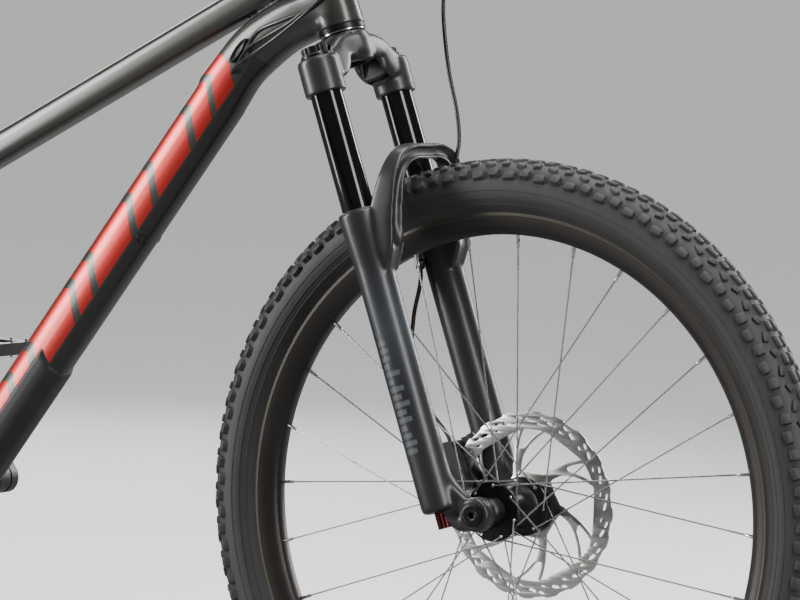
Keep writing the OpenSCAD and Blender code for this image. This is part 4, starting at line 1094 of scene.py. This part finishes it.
dress(bakeCrown(), "forkBlack", "fork_upper", ("crown_steerer",))
steererProfile = [(12.2, 522), (15.9, 522), (15.9, 546), (20, 546.2), (20, 571), (14.4, 581), (14.25, 585),
                  (14.25, 720.8), (12.2, 720.8)]
dress(fromForkY(steererProfile, -forkOffset, 0, 64, True, "steerer"), "anodised", "fork_upper")
stanchionProfile = [(15.2, 192.4), (15.6, 192), (17.1, 192), (17.48, 192.8), (17.48, 517.8), (15.2, 517.8)]
capProfile = [(0, 514), (17, 514), (17, 521.2), (16.2, 522), (0, 522)]
for side in (1, -1):
    tag = "%d" % (side > 0)
    tube = fromForkY(stanchionProfile, -legBack, side * legSide, 128, True, "stanchion" + tag)
    dress(tube, "stanchionGloss", "fork_upper", ("stanchions",))
    dress(fromForkY(capProfile, -legBack, side * legSide, 72, False, "legCap" + tag), "anodised",
          "fork_upper")
knobRing = [(14.6, 521.8), (16.4, 521.8), (16.5, 522.05), (15.9, 522.25), (14.6, 522.25)]
dress(fromForkY(knobRing, -legBack, -legSide, 96, True, "knobRing"), "brightSteel", "fork_upper")


def knurledCap():                            # radius swings with the angle, 24 times round
    angle = np.linspace(0, 2 * np.pi, 192, endpoint=False)
    grip = 0.45 * np.sign(np.cos(24 * angle)) * np.abs(np.cos(24 * angle)) ** 0.5
    rows = [(0.02, 521, 0), (12.6, 521, 0), (13.0, 522.2, 1), (13.0, 528.6, 1), (12.2, 529.6, 0),
            (10.8, 530), (4, 530), (3.6, 529), (0.02, 529)]
    grid = np.array([np.stack([(row[0] + (grip if len(row) > 2 and row[2] else 0)) * np.cos(angle),
                               (row[0] + (grip if len(row) > 2 and row[2] else 0)) * np.sin(angle),
                               np.full(192, float(row[1]))], 1) for row in rows])
    return surface("airCap", forkPoint(grid + [-legBack, legSide, 0]))


dress(knurledCap(), "anodised", "fork_upper")
dressCad("compression_knob", "anodised", 0.7)
print("stage: fork uppers")

# ---- wheels ----

tyreProfile = [(16.8, 316.2), (19.5, 319.5), (24.5, 325), (28.2, 333), (29.3, 342), (28, 351), (24, 359.5),
               (18, 366),
               (10, 369.8), (0, 371.2)]
tyreInside = [(0, 367), (12, 365), (20, 358), (24.5, 348), (25.4, 341), (23, 329), (17, 321), (15.6, 317)]
rimProfile = [(317.4, 14.6), (317.4, 16.9), (316.8, 17.4), (313.5, 17.5), (312.6, 16.9), (311.0, 16.6),
              (304, 15.4), (298, 11.5),
              (294.2, 8.2), (293, 6), (293, -6), (294.2, -8.2), (298, -11.5), (304, -15.4), (311.0, -16.6),
              (312.6, -16.9),
              (313.5, -17.5), (316.8, -17.4), (317.4, -16.9), (317.4, -14.6), (311, -14.2), (309, -8),
              (306.5, -5),
              (306.5, 5), (309, 8), (311, 14.2)]
# Sideways, radius, lean from the wheel's radius, half length, half width, height, turn, shift
knobKinds = [
    (24.6, 357.9, 50, 5.2, 4.7, 4.9, 5, 0.0), (26.2, 355.4, 56, 6.0, 3.9, 4.4, -4, 0.5),
    (16.6, 366.2, 26, 5.4, 3.0, 3.6, 20, 0.26),
    (15.4, 366.9, 24, 4.2, 3.2, 3.6, -18, 0.77), (5.6, 370.1, 5, 6.4, 3.9, 3.4, -6, 0.04),
    (6.4, 369.9, 6, 5.2, 3.5, 3.4, 8, 0.54)]
knobRepeats = 60


# A block with a broad foot and an eased rim
def knobTemplate(halfLong, halfWide, high):
    ring = np.array([(-1, -0.7), (-0.7, -1), (0.7, -1), (1, -0.7), (1, 0.7), (0.7, 1), (-0.7, 1), (-1, 0.7)])
    levels = [(-1.5, 1.25), (0.25, 1.16), (high - 0.45, 1.0), (high, 0.84)]
    rings = [np.column_stack([ring * [halfLong, halfWide] * k, np.full(8, z)]) for z, k in levels]
    return stackTemplate(rings)


def knobs(name, centre, side, kind):
    y, radius, lean, halfLong, halfWide, high, turn, shift = kind
    lean, turn = np.radians([lean, turn * side])
    angle = (np.arange(knobRepeats) + shift + (0.5 if side < 0 else 0)) * 2 * np.pi / knobRepeats
    zero = np.zeros_like(angle)
    radial = np.stack([np.cos(angle), zero, np.sin(angle)], 1)
    around = np.stack([-np.sin(angle), zero, np.cos(angle)], 1)
    over = np.broadcast_to(sideways * side, radial.shape)
    up = np.cos(lean) * radial + np.sin(lean) * over
    flat = np.cos(lean) * over - np.sin(lean) * radial
    ax = np.cos(turn) * around + np.sin(turn) * flat
    ay = np.cos(turn) * flat - np.sin(turn) * around
    template, faces = knobTemplate(halfLong, halfWide, high)
    origins = centre + mm * (radius * radial + y * over)
    return stamped(name, template, faces, origins, ax, ay, up)


def makeTyre(prefix, body, centre):
    outer = smoothPath(np.array(tyreProfile, float), 44)
    outerBack = (outer * [-1, 1])[::-1][:, ::-1]
    loop = np.vstack([outer[:, ::-1], outerBack[1:], (np.array(tyreInside, float) * [-1, 1])[::-1][:, ::-1],
                      np.array(tyreInside, float)[1:, ::-1]])
    tyre = turned(prefix + "Tyre", loop, centre, sideways, 288, True, 50)
    dress(tyre, "tyreRubber", body, (prefix + "_tyre",), centre=tuple(centre))
    parts = [knobs("knob", centre, side, kind) for side in (1, -1) for kind in knobKinds]
    dress(merged(prefix + "Tread", parts), "tyreRubber", body, centre=tuple(centre))
    beads = []
    for side in (1, -1):                     # raised rings moulded into the sidewall
        for y, r in ((24.9, 325.8), (28.0, 332.2), (29.35, 340.5)):
            ring = polar(0.55, np.linspace(0, 2 * np.pi, 8, endpoint=False)) + [r, side * y]
            beads.append(turned("bead", ring, centre, sideways, 240, True))
    dress(merged(prefix + "Beads", beads), "tyreRubber", body, centre=tuple(centre))


def rimShade(tree, where, colour, centre):   # browner and paler towards the outer flange
    shift = addNode(tree, "ShaderNodeMapping")
    shift.inputs["Location"].default_value = (-centre[0], 0, -centre[2])
    tree.links.new(where, shift.inputs["Vector"])
    apart = addNode(tree, "ShaderNodeSeparateXYZ")
    tree.links.new(shift.outputs[0], apart.inputs[0])
    x, y, z = apart.outputs
    radius = calc(tree, "SQRT", calc(tree, "ADD", calc(tree, "MULTIPLY", x, x), calc(tree, "MULTIPLY", z, z)))
    edge = calc(tree, "MULTIPLY_ADD", radius, 160, -49.6, clamp=True)
    return mixColour(tree, edge, colour, (0.085, 0.075, 0.062, 1))


def makeRim(prefix, body, centre):
    shade = finishMaterial("rimBlack", centre, lambda tree, where,
                           colour: rimShade(tree, where, colour, centre))
    rim = turned(prefix + "Rim", rimProfile, centre, sideways, 240, True, 30)
    dress(rim, "rimBlack", body, (prefix + "_rim",), material=shade)
    valve = [(0, 262), (1.5, 262), (1.7, 266), (2.0, 266.4), (2.0, 276), (3.1, 276.4), (3.1, 288),
             (4.6, 288.4), (4.6, 293.6), (0, 293.6)]
    spot = np.radians(180 / 14 * 0.5 + 270)
    out = np.array([np.cos(spot), 0, np.sin(spot)])
    dress(turned(prefix + "Valve", valve, centre, out, 24), "anodised", body)


def makeSpokes(prefix, body, centre, left, right):
    m = np.arange(14)
    lead = np.where(m % 2 == 0, 1, -1)
    step = 2 * np.pi / 14
    hubEnds, rimEnds = [], []
    for side in (0, 1):
        rimAngle = step * (m + side / 2)
        hubAngle = rimAngle + lead * 3 * step
        y = left if side == 0 else -right
        out = (1 if side == 0 else -1) * lead * 2.6
        hubEnds.append(np.stack([28 * np.cos(hubAngle), y + out, 28 * np.sin(hubAngle)], 1))
        rimEnds.append(np.stack([294 * np.cos(rimAngle), np.full(14, 3.0 if side == 0 else -3.0),
                                 294 * np.sin(rimAngle)], 1))
    a, b = np.vstack(hubEnds), np.vstack(rimEnds)
    length = np.linalg.norm(b - a, axis=1)
    az = (b - a) / length[:, None]
    ax = np.cross(az, sideways)
    ax /= np.linalg.norm(ax, axis=1)[:, None]
    ay = np.cross(az, ax)
    ring = polar(1, np.linspace(0, 2 * np.pi, 10, endpoint=False))

    def cane(levels):                        # (share of the length, millimetres beyond it, radius)
        return [np.column_stack([ring * r, np.full(10, z)]) for z, r in levels]
    wire, wireFaces = stackTemplate(cane([(0, 1.0), (0.10, 1.0), (0.14, 0.82), (0.86, 0.82), (0.90, 1.0),
                                          (0.99, 1.0)]))
    verts = (centre + mm * (a[:, None] + wire[None, :, 0:1] * ax[:, None] + wire[None, :, 1:2] * ay[:, None]
             + wire[None, :, 2:3] * (b - a)[:, None]))
    steps = np.arange(28) * len(wire)
    faces = []
    for size in (4, 10):
        block = np.array([f for f in wireFaces if len(f) == size])
        faces += (block[None] + steps[:, None, None]).reshape(-1, size).tolist()
    dress(newObject(prefix + "Spokes", verts.reshape(-1, 3), faces), "spokeSteel", body,
          (prefix + "_spokes",))
    nipple, nippleFaces = stackTemplate(cane([(-15, 1.2), (-14.2, 1.75), (-9, 1.8), (-8, 2.0), (1.5, 2.0)]))
    dress(stamped(prefix + "Nipples", nipple, nippleFaces, centre + mm * b, ax, ay, az), "spokeSteel", body)
    head, headFaces = stackTemplate(cane([(-0.9, 0.9), (-0.5, 1.7), (0.2, 1.9), (0.6, 1.6)]))
    face = np.where(a[:, 1:2] > (left - right) / 2, 1, -1) * sideways
    dress(stamped(prefix + "SpokeHeads", head, headFaces, centre + mm * a, az, np.cross(face, az),
                  face * np.ones((28, 3))),
          "spokeSteel", body)


def hubProfile(half, left, right, shell, driver):
    points = [(7.9, -half), (10.4, -half), (11, -half + 0.6), (11, -half + 7)]
    points += [(24, -right - 6), (24, -right - 3.4)] if driver else [(13.2, -half + 9), (15.5, -half + 14),
        (16.8, -right - 3)]
    points += [(31.4, -right - 1.6), (32, -right - 1), (32, -right + 1), (31.4, -right + 1.6),
               (23, -right + 4),
               (shell, -right + 9), (shell - 1.2, 0), (shell, left - 9), (23, left - 4), (31.4, left - 1.6),
               (32, left - 1),
               (32, left + 1), (31.4, left + 1.6), (26, left + 2.6), (25.4, left + 8)]
    return points


def makeHub(prefix, body, centre, half, left, right, rotorY, shell, driver):
    points = hubProfile(half, left, right, shell, driver)
    points += [(25.8, rotorY - 1.2), (15.6, rotorY - 1.1), (15.2, rotorY + 1.2), (12.6, rotorY + 3),
               (11, rotorY + 5),
               (11, half - 0.6), (10.4, half), (7.9, half)]
    dress(turned(prefix + "Hub", points, centre, sideways, 96, True), "anodised", body, (prefix + "_hub",),
          centre=tuple(centre))


# Slots: turn from the middle of a wave, distance in from the edge, half length, half width, lean
rotorSettings = {"waves": 20, "band": 17, "arms": 6, "stem": 5.2, "fork": 11.5, "branch": 4.2,
                 "slots": [(0.035, 6.4, 3.6, 1.8, 1.15), (-0.075, 9.4, 4.6, 2.2, 1.15),
                           (0.075, 13.2, 2.6, 1.3, 1.15)]}


def rotorOutlines(radius):
    n = rotorSettings["waves"]
    angle = np.linspace(0, 2 * np.pi, 600, endpoint=False)
    outer = polar(radius - 1.1 + 1.1 * np.tanh(2.4 * np.cos(n * angle)), angle)
    bore = polar(25.5, np.linspace(0, 2 * np.pi, 90, endpoint=False))[::-1]
    lines = [outer, bore]
    inside = radius - rotorSettings["band"]
    arms = rotorSettings["arms"]
    part = 2 * np.pi / arms

    def swirl(r, a, lean=-0.55):             # arms lean back as they go out
        return polar(r, a + lean * (r - 34) / (radius - 50))

    def armHalf(r):                          # a stem that opens into a fork
        return rotorSettings["stem"] + rotorSettings["fork"] * np.clip((r - 52) / (inside - 52), 0, 1) ** 1.2
    for base in np.arange(arms) * part:
        r = np.linspace(37, inside - 1.5, 16)
        near = swirl(r, base + armHalf(r) / r)
        far = swirl(r[::-1], base + part - armHalf(r[::-1]) / r[::-1])
        lines.append(evenly(roundCorners(np.vstack([near, far]), 2), 80))
        r = np.linspace(62, inside - 1.5, 10)
        gap = np.clip(armHalf(r) - rotorSettings["branch"], 0.5, None) / r
        lines.append(evenly(roundCorners(np.vstack([swirl(r, base - gap),
                                                    swirl(r[::-1], base + gap[::-1])]), 2), 50))
    for k in range(n):
        base = (k + 0.5) * 2 * np.pi / n
        for j, (turn, out, long, wide, tilt) in enumerate(rotorSettings["slots"]):
            spot = polar(radius - out, base + turn)
            way = polar(1, base + turn + tilt)
            cross = np.array([-way[1], way[0]])
            slot = [spot + way * u + cross * v
                    for u, v in ((-long, -wide), (long, -wide * 0.7), (long, wide), (-long, wide * 0.7))]
            lines.append(roundCorners(slot, 2))
    return lines


def makeRotor(prefix, body, centre, y, radius):
    where = centre + sideways * y * mm
    band = plate(prefix + "Rotor", rotorOutlines(radius), where, 1.8, 0.12)
    dress(band, "rotorSteel", body, (prefix + "_rotor",), centre=tuple(centre))
    n = 6
    a = np.linspace(0, 2 * np.pi, 360, endpoint=False)
    carrier = [polar(29.5 + 2.6 * np.cos(n * a), a), polar(16.0, a[::6])[::-1]]
    for spot in np.arange(n) * 2 * np.pi / n + np.pi / n:
        carrier.append(polar(19.6, spot) + polar(1.6, np.linspace(0, 2 * np.pi, 20, endpoint=False)))
    dress(plate(prefix + "Carrier", carrier, where + sideways * 0.6 * mm, 2.9, 0.3), "anodised", body)
    spots = np.arange(n) * 2 * np.pi / n
    zero = np.zeros(n)
    radial = np.stack([np.cos(spots), zero, np.sin(spots)], 1)
    around = np.stack([-np.sin(spots), zero, np.cos(spots)], 1)
    ring = polar(1, np.linspace(0, 2 * np.pi, 20, endpoint=False))
    levels = [(0, 3.3), (1.2, 3.3), (1.7, 2.9), (1.7, 1.6), (0.7, 1.5)]
    bolt, boltFaces = stackTemplate([np.column_stack([ring * r, np.full(20, z)]) for z, r in levels])
    origins = where + mm * (24.6 * radial + 1.4 * sideways)
    dress(stamped(prefix + "RotorBolts", bolt, boltFaces, origins, around, radial,
                  sideways * np.ones((n, 3))), "brightSteel", body)


for prefix, body, centre, hubHalf, left, right, rotorY, rotorR, shell in (
        ("front", "front_wheel", frontAxle, 54.7, 27, 33, 45, 101.5, 19),
        ("rear", "rear_wheel", rearAxle, 73.7, 36, 22, 57, 90, 20)):
    makeTyre(prefix, body, centre)
    makeRim(prefix, body, centre)
    makeSpokes(prefix, body, centre, left, right)
    makeHub(prefix, body, centre, hubHalf, left, right, rotorY, shell, prefix == "rear")
    makeRotor(prefix, body, centre, rotorY, rotorR)
    print("stage: %s wheel" % prefix)

# ---- drive ----

pitch = 12.7
cogTeeth = [51, 45, 39, 33, 28, 24, 21, 18, 16, 14, 12, 10]


# Tooth outline: valleys that follow the chain's rollers, and blunt tips
def toothOutline(count, high=3.2, low=-3.8):
    radius = pitch / 2 / np.sin(np.pi / count)
    share = np.array([-0.40, -0.22, -0.10, 0.10, 0.22, 0.40])
    lift = np.array([low, -0.5, high, high, -0.5, low])
    a = ((np.arange(count)[:, None] + share) * 2 * np.pi / count).reshape(-1)
    return polar((radius + np.tile(lift, count)), a)


def makeCassette():
    for i, teeth in enumerate(cogTeeth):
        radius = pitch / 2 / np.sin(np.pi / teeth)
        lines = [toothOutline(teeth), polar(17, np.linspace(0, 2 * np.pi, 48, endpoint=False))[::-1]]
        if radius > 55:                      # lightening windows
            for spot in np.arange(12) * 2 * np.pi / 12 + i * 0.12:
                near = polar(27, spot + np.array([-0.17, 0.17]))
                far = polar(radius - 9, spot + np.array([0.28, -0.05]))
                lines.append(roundCorners(np.vstack([near, far]), 2))
        where = rearAxle + sideways * (-33 - 3.4 * i) * mm
        cog = plate("cog%02d" % teeth, lines, where, 1.8, 0.2)
        dress(cog, "cogSteel", "cassette", ("cassette",) if i == 0 else ())
    core = [(11.2, -71.4), (15.6, -71.4), (16.2, -71), (17.0, -70), (17.0, -32.6), (11.2, -32.6)]
    dress(turned("cassetteCore", core, rearAxle, sideways, 72, True), "anodised", "cassette")


makeCassette()
dressCad("chainring", "anodised", 0.25)
dressCad("crank", "forkBlack", 2.2)
for side in (-1, 1):
    cap = [(0, 81), (10.5, 81), (11, 81.6), (11, 82.4), (9.4, 83), (7, 83), (6.4, 82), (0, 82)]
    dress(turned("armCap%d" % (side > 0), cap, crankAxis, side * sideways, 48), "anodised", "crankset")


# Loop round the sprockets in running order; the last one turns the other way
chainCircles = [((-589, 375), 24, 1), ((-156, 330), 32, 1), ((-562, 158), 12, 1), ((-594, 240), 12, -1)]


def chainLoop():
    centre = np.array([c[0] for c in chainCircles], float)
    signed = np.array([c[2] * pitch / 2 / np.sin(np.pi / c[1]) for c in chainCircles])
    after = np.roll(np.arange(4), -1)
    gap = centre[after] - centre
    leave = np.arctan2(gap[:, 1], gap[:, 0]) + np.arccos((signed - signed[after]) / np.linalg.norm(gap,
        axis=1))
    points = []
    for i in range(4):
        a, b = leave[i - 1], leave[i]
        while signed[i] > 0 and b > a:
            b -= 2 * np.pi
        while signed[i] > 0 and a - b >= 2 * np.pi:
            b += 2 * np.pi
        while signed[i] < 0 and b < a:
            b += 2 * np.pi
        while signed[i] < 0 and b - a >= 2 * np.pi:
            b -= 2 * np.pi
        q = np.linspace(a, b, 60)
        points.append(centre[i] + signed[i] * polar(1, q))
    return np.vstack(points)


def makeChain():
    loop = chainLoop()
    closed = np.vstack([loop, loop[:1]])
    length = np.linalg.norm(np.diff(closed, axis=0), axis=1).sum()
    count = int(round(length / pitch / 2)) * 2
    pins = evenly(loop, count)
    after = np.roll(pins, -1, axis=0)
    flat = np.stack([pins[:, 0] * mm, np.full(count, -0.050), pins[:, 1] * mm], 1)
    middle = (flat + np.roll(flat, -1, axis=0)) / 2
    along = np.roll(flat, -1, axis=0) - flat
    along /= np.linalg.norm(along, axis=1)[:, None]
    across = np.broadcast_to(sideways, along.shape)
    up = np.cross(along, across)
    ringAngle = np.linspace(0, 2 * np.pi, 28, endpoint=False)
    x = 6.35 * np.sign(np.cos(ringAngle)) + 4.1 * np.cos(ringAngle)
    z = (4.1 - 1.1 * (1 - np.abs(np.cos(ringAngle)) ** 0.7)) * np.sin(ringAngle)
    parts = []
    for kind, offsets in ((0, (1.45, 2.3)), (1, (2.5, 3.3))):
        chosen = np.arange(count) % 2 == kind
        for side in (1, -1):
            low, high = sorted((side * offsets[0], side * offsets[1]))
            template, faces = stackTemplate([np.column_stack([x, np.full(28, low), z]),
                                             np.column_stack([x, np.full(28, high), z])])
            parts.append(stamped("plate", template, faces, middle[chosen], along[chosen], across[chosen],
                                 up[chosen]))
    ring = polar(1, np.linspace(0, 2 * np.pi, 14, endpoint=False))
    levels = [(-3.75, 1.7), (-1.3, 1.8), (-1.3, 3.8), (1.3, 3.8), (1.3, 1.8), (3.75, 1.7)]
    pin, pinFaces = stackTemplate([np.column_stack([ring[:, 0] * r, np.full(14, y), ring[:, 1] * r]) for y,
                                   r in levels])
    parts.append(stamped("pin", pin, pinFaces, flat, along, across, up))
    dress(merged("chainLinks", parts), "cogSteel", "frame", ("chain",))
    print("chain links: %d, %.2f mm each" % (count, length / count))


makeChain()


def makePedal(name, body, side):
    dressCad(name, "anodised", 1.4)
    centre = np.array(joints[name + "_spin"]["pos_m"])
    ring = polar(1, np.linspace(0, 2 * np.pi, 8, endpoint=False))
    pin, faces = stackTemplate([np.column_stack([ring * r, np.full(8, z)]) for z,
                                r in ((-1, 2.0), (0.4, 2.0), (0.4, 1.5), (3.2, 1.3), (3.4, 1.0))])
    spots = np.array([(-44, -42), (-44, -14), (-44, 14), (-44, 42), (44, -42), (44, -14), (44, 14),
                      (44, 42), (-20, 43), (20, 43)], float)
    both = np.vstack([np.column_stack([spots, np.full(10, 7.4)]),
                      np.column_stack([spots, np.full(10, -7.4)])]) * [1, side, 1]
    up = np.vstack([np.tile([0, 0, 1.0], (10, 1)), np.tile([0, 0, -1.0], (10, 1))])
    ax = np.tile([1.0, 0, 0], (20, 1))
    dress(stamped(body + "Pins", pin, faces, centre + mm * both, ax, np.cross(up, ax), up), "brightSteel",
          body)


makePedal("pedal_left", "pedal_left", 1)
makePedal("pedal_right", "pedal_right", -1)
dressCad("derailleur_linkage", "anodised", 1.0)
dressCad("derailleur_knuckle", "anodised", 1.2)
dressCad("derailleur_cage", "anodised", 0.4)
dressCad("jockey_guide", "blackPlastic", 0.25)
dressCad("jockey_tension", "blackPlastic", 0.25)
print("stage: drive")

# ---- saddle ----

saddleFoot = seatPoint([0, 0, 604])


def saddlePoint(points):                     # level frame over the post's head
    return placed(np.asarray(points, float) + [2, 0, 19.6], saddleFoot, np.array([1.0, 0, 0]), sideways,
                  np.array([0, 0, 1.0]))


saddleStations = [                           # place, half width, underside, top
    (-124, 30, 37, 43), (-121, 48, 34, 46), (-112, 62, 32, 49), (-90, 70, 31, 51), (-60, 65, 31.5, 51.5),
    (-30, 50, 32, 51.5),
    (0, 34, 32.5, 51), (35, 25, 32, 50.5), (75, 21.5, 30.5, 50.5), (110, 19.5, 29.5, 50.5),
    (135, 16, 30.5, 49.5),
    (144, 10, 33, 47), (147, 4, 37, 43)]


def makeSaddle():
    s = spread(saddleStations, 110)
    angle = np.linspace(0, 2 * np.pi, 96, endpoint=False)
    c = np.sign(np.cos(angle)) * np.abs(np.cos(angle)) ** 0.72
    v = np.sign(np.sin(angle)) * np.abs(np.sin(angle)) ** 0.8
    middle, half = (s[:, 2] + s[:, 3]) / 2, (s[:, 3] - s[:, 2]) / 2
    y = s[:, 1:2] * c[None]
    z = middle[:, None] + half[:, None] * v[None] - 2.2 * (np.abs(c[None]) ** 3)
    groove = 3.2 * np.exp(-(y / 7) ** 2) * np.clip(1 - np.abs(s[:, :1] + 10) / 95, 0, 1)
    z = z - groove * (v[None] > 0.1)
    x = np.repeat(s[:, :1], 96, 1)
    cover = surface("saddlePad", saddlePoint(np.stack([x, y, z], -1)), smoothAngle=60)
    dress(cover, "saddleCover", "saddle_post", ("saddle",))
    post = [(10.0, 270), (12.4, 270), (12.46, 270.6), (12.46, 603.6), (14.6, 604), (15, 604.4), (15, 614),
            (14, 616), (10.0, 616)]
    dress(turned("postInner", post, crankAxis, seatUp, 96, True), "stanchionGloss", "saddle_post",
          ("seatpost_inner",))
    for low, high, wide in ((-10.6, -2.2, 19), (-1.6, 6.4, 19)):
        block = roundCorners([(-22, low), (22, low), (19, high), (-19, high)] if low < -5 else [(-20, low),
            (20, low), (17, high), (-17, high)], 2)
        clamp = slab("railClamp", block, -wide, wide, saddlePoint, 1.2)
        dress(clamp, "anodised", "saddle_post")
    rail = [(-75, 36, 27), (-62, 30, 12), (-48, 22.5, 3), (-20, 22, 2), (20, 22, 2), (48, 21.5, 3),
            (84, 17, 11), (118, 12, 22)]
    for side in (1, -1):
        path = saddlePoint(smoothPath(np.array(rail) * [1, side, 1], 70))
        dress(swept("rail%d" % (side > 0), path, 3.5 * mm, 3.5 * mm, (0, 0, 1), 20), "brightSteel",
              "saddle_post")
    for x in (-15, 15):
        bolt = [(0, -11), (3, -11), (3, 7), (4.2, 7.2), (4.2, 9.6), (0, 9.6)]
        dress(turned("railBolt%d" % (x > 0), bolt, saddlePoint([x, 0, 0]), np.array([0, 0, 1.0]), 24),
              "brightSteel", "saddle_post")


makeSaddle()
print("stage: saddle")

# ---- bar and controls ----

sweepBack = np.radians(7.5)
barEnd = np.array([3, 140, 728.0])
barOut = np.array([-np.sin(sweepBack), np.cos(sweepBack), 0])
barLong = 244 / np.cos(sweepBack)


def barPath():
    half = np.vstack([[3, 0, 702], [3, 30, 702], [3, 50, 702], [3, 66, 703.4], barEnd - [0, 14, 2.6],
                      barEnd + barOut * 8,
                      barEnd + barOut * 60, barEnd + barOut * 130, barEnd + barOut * barLong])
    whole = np.vstack([mirrored(half)[:0:-1], half])
    return smoothPath(whole, 240)


def makeBar():
    path = barPath()
    y = np.abs(path[:, 1])
    r = (11.1 + 4.7 * np.clip((66 - y) / 20, 0, 1) ** 1.2) * mm
    dress(swept("bar", forkPoint(path), r, r, steerUp, 48), "anodised", "fork_upper", ("handlebar",))
    for side in (1, -1):
        out = barOut * [1, side, 1]
        start = barEnd * [1, side, 1]
        along = np.linspace(barLong - 130, barLong + 4, 260)
        covered = (along > barLong - 112) * (along < barLong - 10)
        ribs = 0.55 * np.sign(np.sin(2 * np.pi * along / 5.2)) * covered
        collar = 2.0 * (along < barLong - 118) + 1.1 * np.clip((along - barLong + 3) / 3, 0, 1)
        radius = (15.4 + ribs * 0.5 + collar) * mm
        radius[-3:] = np.array([15.0, 12.0, 0.1]) * mm
        path = forkPoint(start + along[:, None] * out)
        dress(swept("grip%d" % (side > 0), path, radius, radius, steerUp, 64), "gripRubber", "fork_upper",
              ("grips",))


makeBar()
dressCad("stem", "anodised", 1.6)
dressCad("headset_spacers", "anodised", 0.5)
dressCad("brake_masters", "blackPlastic", 1.4)
dressCad("shifter_pods", "blackPlastic", 1.4)
for node in ("brake_blade_left", "brake_blade_right"):
    dressCad(node, "anodised", 1.2)
for node in ("shift_paddle_main", "shift_paddle_release", "dropper_paddle"):
    dressCad(node, "blackPlastic", 0.9)
for side in (1, -1):
    for up in (-18.6, 18.6):
        bolt = [(0, 0), (3.2, 0), (3.4, 0.4), (3.4, 3.4), (2.9, 3.9), (1.7, 3.9), (1.6, 2.4), (0, 2.4)]
        place = forkPoint([24.6, side * 17, 702 + up])
        dress(turned("stemBolt%d%d" % (side > 0, up > 0), bolt, place, steerFwd, 24), "brightSteel",
              "fork_upper")

# ---- hoses and cables ----

hoseRoutes = {
    "frontHose": dict(r=2.4, route=[[348, 168, 1048], [354, 142, 1052], [392, 110, 1050], [430, 80, 1010],
                                    [444, 66, 950],
                      [446, 61, 900], [456, 60, 840], [470, 57, 796], [479, 50, 766], [479.5, 45, 746],
                      [473.5, 42.3, 728], [458, 43, 704], [438, 43.4, 672], [436, 48, 632], [430, 60, 604],
                      [418, 68, 564], [420, 66, 516], [446, 58, 470], [474, 52, 444],
                      [482, 50, 434]]),
    "rearHoseFront": dict(r=2.5, route=[[348, -168, 1048], [352, -142, 1052], [384, -96, 1046], [404, -58,
        1004],
                          [392, -46, 948], [350, -44, 904], [306, -43, 886], [272, -38, 874],
                          [252, -29.5, 858],
                          [246, -27, 850]]),
    "shiftFront": dict(r=2.1, route=[[340, -166, 1029], [372, -120, 1010], [388, -72, 968],
                       [368, -52, 922], [326, -50, 888], [286, -44, 868], [258, -36, 856], [243, -29.5, 844],
                       [238, -27, 838]]),
    "dropperFront": dict(r=2.1, route=[[345, 166, 1029], [388, 116, 1016], [404, 40, 996],
                         [398, -28, 958], [364, -54, 912], [318, -54, 876], [276, -46, 852], [246, -35, 838],
                         [233, -29.5, 830], [229, -27, 825]]),
    "rearHoseTail": dict(r=2.5, route=[[-300, 62, 356], [-350, 78, 366], [-420, 84, 388], [-470, 78, 412],
                                       [-498, 66, 424]]),
    "shiftTail": dict(r=2.1, route=[[-500, -90, 384], [-560, -97, 396], [-612, -99, 400], [-644, -97, 374],
                      [-640, -93, 346], [-622, -90, 335]]),
}


def makeHose(name, spec):
    path = smoothPath(np.array(spec["route"], float) * mm, 24 * len(spec["route"]))
    tube = swept(name, path, spec["r"] * mm, spec["r"] * mm, (0.2, 0.05, 1), 16)
    tube.data.materials.append(finishMaterial("hoseSkin"))
    return tube


for name, spec in hoseRoutes.items():
    tube = makeHose(name, spec)
    if name == "frontHose":
        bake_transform(tube)
        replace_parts(tube, "front_brake_hose")
    elif "Front" in name:
        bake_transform(tube)
        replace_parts(tube, "control_lines")
    else:
        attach(tube, "frame")
clip = [(2.6, -5), (4.6, -5), (5, -4.4), (5, 4.4), (4.6, 5), (2.6, 5)]
dress(turned("hoseClip", clip, np.array([0.4355, 0.0495, 0.625]), np.array([-0.12, 0.28, -0.95]), 24, True),
      "blackPlastic", "fork_lower")
print("stage: controls and hoses")
